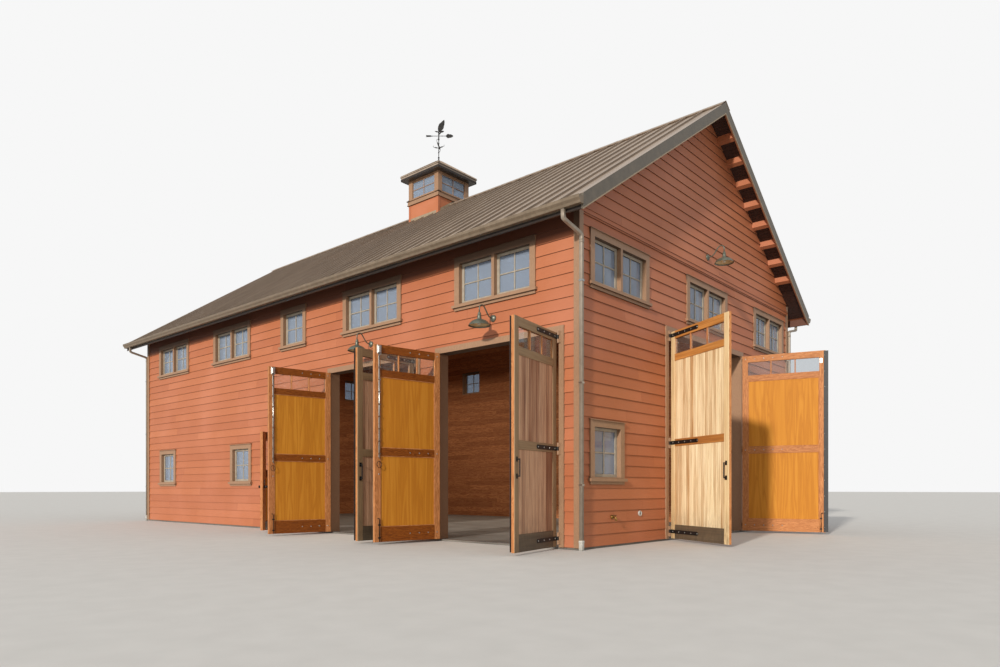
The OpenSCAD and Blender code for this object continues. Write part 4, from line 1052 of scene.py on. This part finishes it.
def cupola():
    """Corner boards, sill, posts, sashes, roof edge, hip caps, seams and flashing."""
    shape = Shape(seed=80)
    metal = Shape(seed=81)
    for k in range(4):
        shape.matrix = metal.matrix = turned(k)
        # Corner boards of the base, in two leaves to each corner
        for s in (-1, 1):
            a, b = sorted((s * (CUPOLA + 0.006 * (s > 0)), s * (CUPOLA - 0.070)))
            feet = [under_roof(CUPOLA + 0.006 if k % 2 else u, 0.002) for u in (a, b)]
            shape.prism([(a, feet[0]), (b, feet[1]), (b, CUPOLA_BASE), (a, CUPOLA_BASE)], 1,
                        -CUPOLA - 0.006, -CUPOLA + 0.002)
        # Band, its bed mould and its sloped sill
        half = CUPOLA + 0.025
        shape.prism([(-half - 0.012, CUPOLA_BASE - 0.004), (-half - 0.012, CUPOLA_BASE + 0.016),
                     (-half + 0.01, CUPOLA_BASE + 0.022), (-half + 0.01, CUPOLA_BASE - 0.004)],
                    0, -half - 0.012, half + 0.012, slot=1)
        shape.prism([(-half - 0.022, CUPOLA_LOW - 0.016), (-half - 0.022, CUPOLA_LOW + 0.002),
                     (-CUPOLA + 0.06, CUPOLA_LOW + 0.016), (-CUPOLA + 0.06, CUPOLA_LOW - 0.016)],
                    0, -half - 0.022, half + 0.022, slot=1)
        # Posts, head and the sash with its bars
        opening = CUPOLA - 0.110
        for s in (-1, 1):
            a, b = sorted((s * (CUPOLA + 0.008 * (s > 0)), s * (opening - 0.022)))
            shape.box((a, -CUPOLA - 0.008, CUPOLA_LOW + 0.010), (b, -CUPOLA + 0.002, CUPOLA_HEAD), 2,
                      slot=1, edge=0.002)
        low, high = CUPOLA_LOW + 0.020, CUPOLA_HEAD - 0.030
        stile, y0, y1 = 0.034, -CUPOLA + 0.008, -CUPOLA + 0.046
        shape.surround((-opening, low), (opening, high), y0, y1, stile, 1)
        mid = (low + high) / 2
        shape.box((-0.009, y0 + 0.004, low + stile), (0.009, y1 - 0.002, high - stile), 2, slot=1,
                  edge=0.003)
        shape.box((-opening + stile, y0 + 0.005, mid - 0.009),
                  (opening - stile, y1 - 0.003, mid + 0.009), 0, slot=1, edge=0.003)
        # Roof edge, hip cap and seams; the roof edge's dark colour is painted shade
        edge = CUPOLA_EDGE
        shape.box((-edge + 0.002, -edge - 0.006, CUPOLA_HEAD + 0.002),
                  (edge - 0.002, -edge + 0.006, CUPOLA_HEAD + 0.056), 0, slot=2, edge=0.002)
        eave, peak = CUPOLA_HEAD + 0.120, CUPOLA_PEAK - MAST_FOOT
        flat = edge * MAST_FOOT / (CUPOLA_PEAK - CUPOLA_HEAD - 0.120)
        metal.beam((edge, -edge, eave - 0.004), (flat, -flat, peak - 0.004), 0.046, 0.020,
                   (0.4, -0.4, 1))
        for x in (-0.46, -0.23, 0, 0.23, 0.46):
            reach = max(abs(x), flat) + (0.02 if x else 0)
            rise = eave + (edge - reach) * (peak - eave) / (edge - flat)
            metal.beam((x, -edge, eave - 0.002), (x, -reach, rise - 0.002), 0.012, 0.020, (0, -0.5, 1))
    shape.build("cupola_boards", [SIDING, TRIM, DARK], "building")
    # Flashing where the base meets the roof
    for sx in (-1, 1):
        metal.matrix = Matrix()
        x, lap = CUPOLA + 0.004, 0.085
        metal.box((min(sx * x, sx * (x - 0.004)), -x, under_roof(x, 0.02)),
                  (max(sx * x, sx * (x - 0.004)), x, under_roof(x, 0) + lap), 1, slot=1)
        metal.beam((sx * x, -x, under_roof(x, 0) + 0.012),
                   (sx * (x + 0.14), -x, under_roof(x + 0.14, 0) + 0.012), 0.001, 0.002, (0, 0, 1),
                   slot=1)
        for sy in (-1, 1):
            y0, y1 = sorted((sy * CUPOLA, sy * (CUPOLA + 0.004)))
            top = [(sx * t, under_roof(t, 0) + lap) for t in (x, 0.0)]
            low = [(sx * t, under_roof(t, 0.03)) for t in (0.0, x)]
            metal.prism(top + low, 1, y0, y1, slot=1)
    metal.build("cupola_metal", [ROOF, FLASHING], "building")


VANE_TURN = math.radians(-49)
ARROW_Z = 10.135


def rib(shape, foot, direction, length, width, veins=0, thick=0.0055):
    """The raised midrib of a leaf-shaped plate in X and Z, with veins to both sides."""
    a = math.radians(direction)
    along, across = Vector((math.cos(a), 0, math.sin(a))), Vector((-math.sin(a), 0, math.cos(a)))
    start = Vector((foot[0], 0, foot[1]))
    steps = 6
    path = [start + along * length * 0.97 * k / steps for k in range(steps + 1)]
    shape.tube(path, [thick * (1 - 0.62 * k / steps) for k in range(steps + 1)], 8)
    for i in range(veins):
        t = (i + 1) / (veins + 1.4)
        reach = width * 2 * t * (1 - t)
        base = start + along * length * t
        for s in (-1, 1):
            for face in (-0.0032, 0.0032):
                tip = base + along * reach * 0.75 + across * s * reach * 0.80
                shape.beam(base + Vector((0, face, 0)), tip + Vector((0, face * 0.8, 0)), 0.0034, 0.0016,
                           (0, face, 0))


def curl(shape, start, heading, length, turn, thick=0.0052):
    """A bar that leaves along heading and winds up into an eye; turn is 1 or -1."""
    steps = 26
    a, p = math.radians(heading), Vector((start[0], 0, start[1]))
    path = [tuple(p)]
    for i in range(steps):
        share = (i + 1) / steps
        a += turn * math.radians(3 + 34 * share * share)
        p = p + Vector((math.cos(a), 0, math.sin(a))) * length / steps * (1.25 - 0.55 * share)
        path.append(tuple(p))
    shape.tube(path, [thick * (1 - 0.35 * k / steps) for k in range(steps + 1)], 8)


# Foot in X and Z, direction in degrees, length and width of the leaf-shaped plates
MAST_PLATES = [((-0.053, 10.004), -68, 0.240, 0.034), ((0.037, 9.775), 112, 0.120, 0.046),
               ((0, 9.830), 14, 0.135, 0.028), ((0, 9.818), 170, 0.135, 0.026)]
VANE_PLATES = [((0.008, 10.170), 52, 0.090, 0.028, 0), ((-0.006, 10.188), 82, 0.080, 0.022, 0),
               ((0, 10.225), 67, 0.364, 0.122, 13), ((0, 10.225), 81, 0.260, 0.084, 9),
               ((0.018, 10.257), 42, 0.158, 0.042, 5), ((0.008, 10.237), 10, 0.136, 0.050, 5),
               ((0.004, 10.237), 168, 0.112, 0.032, 4)]


def ball(shape, x, z, r, axis=2):
    """A ball in the vane's own plane."""
    outline = [(r * math.sin(math.pi * i / 8), -r * math.cos(math.pi * i / 8)) for i in range(9)]
    outline = [(a if 0 < i < 8 else 0, b) for i, (a, b) in enumerate(outline)]
    shape.spin(outline, (x, 0, z), axis, 16)


def vane():
    """Scrolls and balls of the fixed mast, then the ribs of the turning vane."""
    turn = Matrix.Rotation(VANE_TURN, 4, "Z")
    shape = Shape(turn, seed=90)
    for z, r in ((CUPOLA_PEAK + 0.075, 0.024), (9.700, 0.018), (9.940, 0.017)):
        ball(shape, 0, z, r)
    shape.spin([(0.046, 0), (0.030, 0.020), (0.018, 0.050), (0.014, 0.072), (0.006, 0.072),
                (0.006, 0)], (0, 0, CUPOLA_PEAK - MAST_FOOT), 2, 24)
    for plate in MAST_PLATES:
        rib(shape, *plate)
    curl(shape, (-0.053, 10.004), 100, 0.110, -1)
    curl(shape, (0.037, 9.775), -80, 0.110, -1)
    curl(shape, (0.118, 9.858), 20, 0.085, 1, 0.0042)
    curl(shape, (-0.118, 9.838), 165, 0.085, -1, 0.0042)
    shape.build("mast_scrolls", [IRON], "building")

    shape = Shape(turn, seed=91)
    for x, r in ((-0.178, 0.013), (0.085, 0.012), (0.190, 0.014)):
        ball(shape, x, ARROW_Z, r, 0)
    ball(shape, 0, 10.216, 0.019)
    for i in range(2):
        ball(shape, 0, 10.082 + i * 0.106, 0.018)
    for *plate, veins in VANE_PLATES:
        rib(shape, *plate, veins)
    rib(shape, (0.195, ARROW_Z), 0, 0.186, 0.093, 0, 0.0050)
    for s in (-1, 1):
        rib(shape, (0.195, ARROW_Z), s * 36, 0.089, 0.0465, 0, 0.0040)
        for i in range(5):
            x = -0.203 - i * 0.023
            for face in (-0.0032, 0.0032):
                shape.beam((x, face, ARROW_Z), (x - 0.024, face, ARROW_Z + s * 0.0195), 0.0034, 0.0016,
                           (0, face, 0))
    shape.build("vane_ornament", [IRON], "vane")


# Roof edges, gutters and downspouts

SEAM_H = 0.032
CAP_W = 0.165
GUTTER_Z = (4.878, 4.986)
GUTTER_REACH = 0.118
PIPE_X = HALF_W + 0.010
PIPE_Y = HALF_L + TRIM_FACE + 0.004
PIPE_D = 0.056
PIPE_W = 0.052
PIPE_TOP_X = EAVE_X + 0.042
PIPE_START = 4.745
PIPE_TILT = math.radians(77)
PIPE_STRAPS = (3.95, 2.45, 0.95)


def roof_edges():
    """Rakes, soffits, fascias, the ridge's hems and laps, and the eave drips."""
    metal = Shape(seed=100)
    wood = Shape(seed=101)
    board, board_t = 0.089, 0.006
    rows = int((EAVE_X - 0.031) * PLUMB / board)
    for sy in (-1, 1):
        # Rake: a red board behind a folded metal face with a hem, and a cover over the roofing
        y0, y1 = sorted((sy * (RAKE_Y - 0.040), sy * (RAKE_Y - 0.012)))
        f0, f1 = sorted((sy * (RAKE_Y - 0.012), sy * (RAKE_Y - 0.004)))
        for sx in (-1, 1):
            def roof_ring(top, bottom):
                return [(0, under_roof(0, top)), (sx * EAVE_X, under_roof(EAVE_X, top)),
                        (sx * EAVE_X, under_roof(EAVE_X, bottom)), (0, under_roof(0, bottom))]

            wood.prism(roof_ring(-0.008, 0.168), 1, y0, y1)
            metal.prism(roof_ring(-0.011, 0.168), 1, f0, f1, slot=1)
            hem = sorted((sy * (RAKE_Y - 0.018), sy * RAKE_Y))
            metal.prism(roof_ring(0.158, 0.175), 1, *hem, slot=2)
            a, b = sorted((sx * EAVE_X, sx * (EAVE_X + 0.003)))
            metal.box((a, min(y0, f0), under_roof(EAVE_X, 0.168)),
                      (b, max(y1, f1), under_roof(EAVE_X, -0.008)), 2, slot=1)
            cover = sorted((sy * (RAKE_Y - 0.105), sy * (RAKE_Y - 0.002)))
            metal.prism(roof_ring(-0.016, -0.0115), 1, *cover)
            lip = sorted((sy * (RAKE_Y - 0.108), sy * (RAKE_Y - 0.102)))
            metal.prism(roof_ring(-0.0115, 0.002), 1, *lip)
            # Soffit boards between the lookouts, in a dark copy of the siding's red that is painted
            # shade
            for i in range(rows):
                x = (i + 0.5) * board / PLUMB
                z = under_roof(x, DECK_DEPTH)
                wood.beam((sx * x, sy * (HALF_L - SIDING_T), z), (sx * x, sy * (RAKE_Y - 0.040), z),
                          board - 0.004, board_t, -slope_normal(sx), slot=1)
    # Boards of the open eaves, between the wall and the fascia, in the same painted-shade colour
    for sx in (-1, 1):
        for i in range(int((HALF_W - SIDING_T) * PLUMB / board), rows):
            x = (i + 0.5) * board / PLUMB
            z = under_roof(x, DECK_DEPTH)
            for a, b in joints(-HALF_L + SIDING_T, HALF_L - SIDING_T, wood.rng):
                wood.beam((sx * x, a + 0.001, z), (sx * x, b - 0.001, z), board - 0.004, board_t,
                          -slope_normal(sx), slot=1)
        # Fascia: a red board, its outer face and lower edge under a dark cover that holds the gutter;
        # the cover's dark colour is painted shade
        inner, skin, low, end = EAVE_X - 0.030, EAVE_X - 0.002, FASCIA_LOW, RAKE_Y - 0.040
        top = under_roof(EAVE_X, DECK_DEPTH) - 0.001
        board_ring = [(inner, low + 0.002), (skin, low + 0.002), (skin, top),
                      (inner, under_roof(inner, DECK_DEPTH) - 0.001)]
        cover_ring = [(inner, low), (EAVE_X, low), (EAVE_X, top), (skin, top), (skin, low + 0.002),
                      (inner, low + 0.002)]
        for ring, slot in ((board_ring, 0), (cover_ring, 2)):
            wood.prism([(sx * u, v) for u, v in ring], 1, -end, end, slot=slot)
    wood.build("rake_and_soffit", [SIDING, SOFFIT, DARK], "building", ("rake_boards", "eave_boxes"))
    # Ridge: hemmed edges and the closures under them
    cap, sheet_length = SEAM_H + 0.008, 3.05
    for low, high in ((-RAKE_Y, -CUPOLA - 0.004), (CUPOLA + 0.004, RAKE_Y)):
        for sx in (-1, 1):
            x = CAP_W
            hem, closure = under_roof(x, -SEAM_H + 0.004), under_roof(x - 0.03, 0)
            metal.beam((sx * x, low, hem), (sx * x, high, hem), 0.012, 0.014, slope_normal(sx))
            metal.beam((sx * (x - 0.03), low + 0.01, closure), (sx * (x - 0.03), high - 0.01, closure),
                       0.003, SEAM_H, slope_normal(sx))
            laps = int((high - low) / sheet_length)
            ring = [(u, under_roof(v, -cap) + d) for u, v, d in
                    ((0, 0, -0.001), (sx * (x + 0.001), x, -0.001), (sx * (x + 0.001), x, 0.003),
                     (0, 0, 0.003))]
            for i in range(laps):
                y = low + (i + 1) * (high - low) / (laps + 1)
                metal.prism(ring, 1, y - 0.05, y + 0.05)
    # Eave drip
    for sx in (-1, 1):
        x = EAVE_X + 0.020
        metal.prism([(sx * (x - 0.02), under_roof(x, 0.0105)), (sx * (x + 0.002), under_roof(x, 0.0105)),
                     (sx * (x + 0.004), under_roof(x, 0.034)), (sx * (x - 0.002), under_roof(x, 0.034))],
                    1, -RAKE_Y + 0.045, RAKE_Y - 0.045)
    metal.build("roof_metal_edges", [ROOF, RAKE, FLASHING], "building")


def gutters():
    """The gutters' rolled lips, hangers, joint sleeves and outlets."""
    shape = Shape(seed=104)
    low, high = GUTTER_Z
    for sx in (-1, 1):
        x = sx * (EAVE_X + GUTTER_REACH - 0.005)
        shape.tube([(x, -RAKE_Y + 0.002, high - 0.004), (x, RAKE_Y - 0.002, high - 0.004)], 0.0065, 10)
        for i in range(18):
            y = -RAKE_Y + 0.3 + i * (2 * RAKE_Y - 0.6) / 17
            a, b = sorted((sx * (EAVE_X + 0.003), x))
            shape.box((a, y - 0.014, high - 0.006), (b, y + 0.014, high - 0.003), 0)
        for i in range(1, 4):
            y = -RAKE_Y + i * RAKE_Y / 2
            ring = [(EAVE_X + 0.001, low - 0.0015), (EAVE_X + 0.0785, low - 0.0015),
                    (EAVE_X + 0.0915, low + 0.033), (EAVE_X + 0.1195, low + 0.0655),
                    (EAVE_X + 0.1195, high - 0.001), (EAVE_X + 0.117, high - 0.001),
                    (EAVE_X + 0.117, low + 0.067), (EAVE_X + 0.088, low + 0.034),
                    (EAVE_X + 0.076, low + 0.001), (EAVE_X + 0.001, low + 0.001)]
            shape.prism([(sx * u, v) for u, v in ring], 1, y - 0.03, y + 0.03)
        for sy in (-1, 1):
            y = sy * (PIPE_Y + PIPE_D / 2)
            shape.box((sx * PIPE_TOP_X - 0.034, y - 0.036, low - 0.004),
                      (sx * PIPE_TOP_X + 0.034, y + 0.036, low + 0.001), 0)
    shape.build("gutter_details", [GUTTER], "building")


def pipe_ring(width, depth):
    """Rounded rectangle with two shallow flutes in each broad face."""
    a, b, r = width / 2, depth / 2, 0.010
    ring = []
    for cx, cy, start in ((a - r, b - r, 0), (-a + r, b - r, 90), (-a + r, -b + r, 180),
                          (a - r, -b + r, 270)):
        ring += [(cx + r * math.cos(math.radians(start + t)), cy + r * math.sin(math.radians(start + t)))
                 for t in (0, 30, 60, 90)]
        if start == 0:
            ring += [(x, b - d) for x, d in ((0.014, 0), (0.010, 0.003), (0.006, 0), (-0.006, 0),
                                             (-0.010, 0.003), (-0.014, 0))]
        if start == 180:
            ring += [(x, -b + d) for x, d in ((-0.014, 0), (-0.010, 0.003), (-0.006, 0), (0.006, 0),
                                              (0.010, 0.003), (0.014, 0))]
    return ring


def downspouts():
    """Fluted pipes with their offsets, straps and boots."""
    shape = Shape(seed=105)
    low_z = PIPE_START - (PIPE_TOP_X - PIPE_X) / math.tan(PIPE_TILT)
    lean = Vector((PIPE_X - PIPE_TOP_X, low_z - PIPE_START)).normalized() * 0.045
    places = [(PIPE_TOP_X, GUTTER_Z[0]), (PIPE_TOP_X, PIPE_START + 0.040),
              (PIPE_TOP_X - 0.006, PIPE_START + 0.010),
              (PIPE_TOP_X + lean[0], PIPE_START + lean[1]), (PIPE_X - lean[0], low_z - lean[1]),
              (PIPE_X + 0.006, low_z - 0.010), (PIPE_X, low_z - 0.042), (PIPE_X, 0.05)]
    for sx in (-1, 1):
        for sy in (-1, 1):
            y = sy * (PIPE_Y + PIPE_D / 2)
            path = [(sx * x, y, z) for x, z in places]
            shape.sweep(path, pipe_ring(PIPE_W, PIPE_D), (0, 1, 0))
            for z in (low_z - 0.075, 0.160):
                shape.sweep([(sx * PIPE_X, y, z), (sx * PIPE_X, y, z - 0.05)],
                            pipe_ring(PIPE_W + 0.005, PIPE_D + 0.005), (0, 1, 0))
            for z in PIPE_STRAPS:
                shape.box((sx * PIPE_X - PIPE_W / 2 - 0.004, y - PIPE_D / 2 - 0.004, z),
                          (sx * PIPE_X + PIPE_W / 2 + 0.004, y + PIPE_D / 2 + 0.003, z + 0.028), 0,
                          slot=2)
                a, b = sorted((sy * (PIPE_Y - 0.004), sy * (PIPE_Y - 0.001)))
                c, d = sorted((sx * PIPE_X, sx * (PIPE_X - 0.070)))
                shape.box((c, a, z), (d, b, z + 0.028), 0, slot=2)
            shape.sweep([(sx * PIPE_X, y, 0.118), (sx * PIPE_X, y, 0.112), (sx * PIPE_X, y, 0.0)],
                        [(u * 1.24, v * 1.12) for u, v in pipe_ring(PIPE_W, PIPE_D)], (0, 1, 0), 1)
            shape.sweep([(sx * PIPE_X, y, 0.145), (sx * PIPE_X, y, 0.112)],
                        [(u * 1.40, v * 1.20) for u, v in pipe_ring(PIPE_W, PIPE_D)], (0, 1, 0), 1)
    shape.build("fluted_downspouts", [PIPE, BOOT, ZINC], "building", ("downspouts",))


# Small fittings, thresholds and the side door: places on the front wall as X and Z

TAP = (-HALF_W + 0.888, 0.465)
VENT = (-HALF_W + 1.747, 0.500)


def fittings():
    """The hose tap with its handwheel, and the round louvred vent."""
    shape = Shape(side_frame(FRONT, TAP[0]) @ Matrix.Translation((0, 0, TAP[1])), seed=110)
    shape.spin([(0, -0.022), (0.032, -0.022), (0.034, -0.018), (0.034, SIDING_T), (0, SIDING_T)],
               (0, 0, 0), 1, 24)
    shape.tube([(0, -0.015, 0), (0, -0.052, 0), (0, -0.066, -0.006), (0, -0.074, -0.020),
                (0, -0.076, -0.045)], [0.012, 0.012, 0.0125, 0.0125, 0.012], 14)
    shape.spin([(0.0145, 0), (0.0155, -0.003), (0.0155, -0.014), (0.0145, -0.017), (0.010, -0.017),
                (0.010, 0)], (0, -0.076, -0.040), 2, 20)
    shape.tube([(0, -0.058, 0.004), (0, -0.058, 0.034)], [0.009, 0.006], 12)
    wheel = [(0.027 * math.cos(t), -0.058 + 0.027 * math.sin(t), 0.031)
             for t in [k * math.pi / 10 for k in range(21)]]
    shape.tube(wheel, 0.0042, 8, 1)
    for k in range(5):
        t = k * 2 * math.pi / 5
        shape.tube([(0, -0.058, 0.031), (0.026 * math.cos(t), -0.058 + 0.026 * math.sin(t), 0.031)],
                   0.003, 6, 1)
    shape.matrix = side_frame(FRONT, VENT[0]) @ Matrix.Translation((0, 0, VENT[1]))
    shape.spin([(0.034, -0.010), (0.037, -0.014), (0.043, -0.013), (0.045, -0.008), (0.045, SIDING_T),
                (0.034, SIDING_T)], (0, 0, 0), 1, 32, 2)
    for k in range(6):
        z = -0.027 + k * 0.0105
        half = math.sqrt(max(0, 0.034 ** 2 - z * z))
        shape.prism([(-0.010, z - 0.004), (-0.002, z + 0.003), (-0.001, z + 0.001), (-0.009, z - 0.006)],
                    0, -half, half, slot=2)
    shape.spin([(0, 0.004), (0.034, 0.004), (0.034, 0.014), (0, 0.014)], (0, 0, 0), 1, 24, 3)
    shape.build("tap_and_vent", [BRASS, IRON, BOOT, RUBBER], "building", ("wall_fittings",))


def thresholds():
    """A low ribbed plate in each doorway."""
    shape = Shape(seed=111)
    for side, pos, w, _ in [(s, *d) for s in DOORWAYS for d in DOORWAYS[s]]:
        shape.matrix = side_frame(side, pos)
        shape.prism([(0.022, SLAB_H), (0.026, SLAB_H + 0.003), (0.100, SLAB_H + 0.003), (0.104, SLAB_H)],
                    0, -w / 2, w / 2)
        for k in range(5):
            y = 0.036 + k * 0.012
            shape.box((-w / 2, y, SLAB_H + 0.003), (w / 2, y + 0.004, SLAB_H + 0.0045), 0)
    shape.build("door_thresholds", [ZINC], "building")


def side_door():
    """Single door: a light over a panel, with beads, plates, knobs and a kick plate."""
    w, h, stile, angle = 0.880, 2.060, 0.125, 60
    panel, light = (0.200, 1.120), (1.250, 1.900)
    place = hang(LEFT, WALK_Y, WALK_W, 1, angle) @ Matrix.Translation((LEAF_GAP, 0, LEAF_LIFT))
    shape = Shape(place, seed=112)
    outer, inner = PIVOT_OUT, PIVOT_OUT + LEAF_T
    for x0, x1 in ((0, stile), (w - stile, w)):
        shape.box((x0, outer, 0), (x1, inner, h), 2, edge=0.003)
    for z0, z1 in ((0, panel[0]), (panel[1], light[0]), (light[1], h)):
        shape.box((stile, outer, z0), (w - stile, inner, z1), 0, slot=1, edge=0.003)
    shape.box((stile, outer + 0.012, panel[0]), (w - stile, inner - 0.012, panel[1]), 2, slot=2)
    for face, out in ((outer, 1), (inner, -1)):
        y0, y1 = sorted((face + out * 0.003, face + out * 0.012))
        for low, high in (panel, light):
            shape.surround((stile, low), (w - stile, high), y0, y1, 0.016)
    shape.build("side_door_timber", [FIR, RAIL, PLY], "side_door", ("walk_door",))
    shape = Shape(place, seed=113)
    for face, out in ((outer, -1), (inner, 1)):
        a, b = sorted((face, face + out * 0.004))
        shape.box((w - 0.090, a, 0.850), (w - 0.034, b, 1.050), 2, edge=0.001)
        for z in (0.866, 1.034):
            bolt(shape, w - 0.062, face + out * 0.004, z, out, 0.005)
        bolt(shape, w - 0.062, face + out * 0.004, 1.002, out, 0.014)
        a, b = sorted((face, face + out * 0.0015))
        shape.box((0.100, a, 0.030), (0.780, b, 0.180), 0, edge=0.0005)
    shape.build("side_door_plates", [ZINC], "side_door")


SUN_WAY = Vector((0.93, 0.20, -0.345))


def floor_and_light():
    """A plain pale floor, a pale sky, a soft low sun, and a fill inside the hall."""
    bpy.ops.mesh.primitive_plane_add(size=400, location=(0, 0, -0.002))
    floor = bpy.context.object
    floor.name = "studio_floor"
    n = Nodes("studio_floor")
    speck = n.noise(n.place(), 3, 2, 0.5)
    n.finish(n.ramp(speck, [(0.3, (0.80, 0.79, 0.77)), (0.7, (0.82, 0.81, 0.79))]), 0.8)
    floor.data.materials.append(n.mat)

    world = bpy.data.worlds.new("studio_sky")
    bpy.context.scene.world = world
    world.use_nodes = True
    tree = world.node_tree
    sky = tree.nodes["Background"]
    sky.inputs["Color"].default_value = (0.95, 0.97, 1.0, 1)
    sky.inputs["Strength"].default_value = 0.62
    white = tree.nodes.new("ShaderNodeBackground")
    white.inputs["Color"].default_value = (0.93, 0.93, 0.93, 1)
    seen = tree.nodes.new("ShaderNodeLightPath")
    choose = tree.nodes.new("ShaderNodeMixShader")
    tree.links.new(seen.outputs["Is Camera Ray"], choose.inputs[0])
    tree.links.new(sky.outputs[0], choose.inputs[1])
    tree.links.new(white.outputs[0], choose.inputs[2])
    tree.links.new(choose.outputs[0], tree.nodes["World Output"].inputs[0])

    sun = bpy.data.objects.new("key_light", bpy.data.lights.new("key_light", "SUN"))
    sun.data.energy = 3.15
    sun.data.angle = math.radians(3)
    sun.data.color = (1.0, 0.95, 0.87)
    sun.rotation_euler = SUN_WAY.to_track_quat("-Z", "Y").to_euler()
    bpy.context.scene.collection.objects.link(sun)

    # A soft fill inside the hall, so that its lining shows through the doorways
    fill = bpy.data.objects.new("hall_fill", bpy.data.lights.new("hall_fill", "AREA"))
    fill.data.shape = "RECTANGLE"
    fill.data.size, fill.data.size_y = 6.0, 11.0
    fill.data.energy = 260
    fill.data.color = (1.0, 0.90, 0.76)
    fill.location = (0, 0, 4.6)
    fill.visible_camera = fill.visible_glossy = fill.visible_transmission = False
    bpy.context.scene.collection.objects.link(fill)


def camera():
    """The photo's own viewpoint: level, just under eye height, the picture shifted upwards."""
    data = bpy.data.cameras.new("camera")
    data.sensor_width = 36
    focal_px = 710.7
    picture_px = 1000
    data.lens = focal_px / picture_px * data.sensor_width
    horizon_below_middle_px = 155
    data.shift_y = horizon_below_middle_px / picture_px
    data.clip_end = 500
    obj = bpy.data.objects.new("camera", data)
    obj.location = (-12.931, -13.464, 0.912)
    forward = Vector((math.sin(math.radians(48.767)), math.cos(math.radians(48.767)), 0))
    obj.rotation_euler = forward.to_track_quat("-Z", "Y").to_euler()
    bpy.context.scene.collection.objects.link(obj)
    bpy.context.scene.camera = obj


bpy.context.scene.view_settings.view_transform = "Standard"
camera()
floor_and_light()
dress_model()
siding()
lining()
window_bars()
lamps()
cupola()
vane()
roof_edges()
gutters()
downspouts()
fittings()
thresholds()
side_door()
for key, values in LEAVES.items():
    leaf(key, *values)
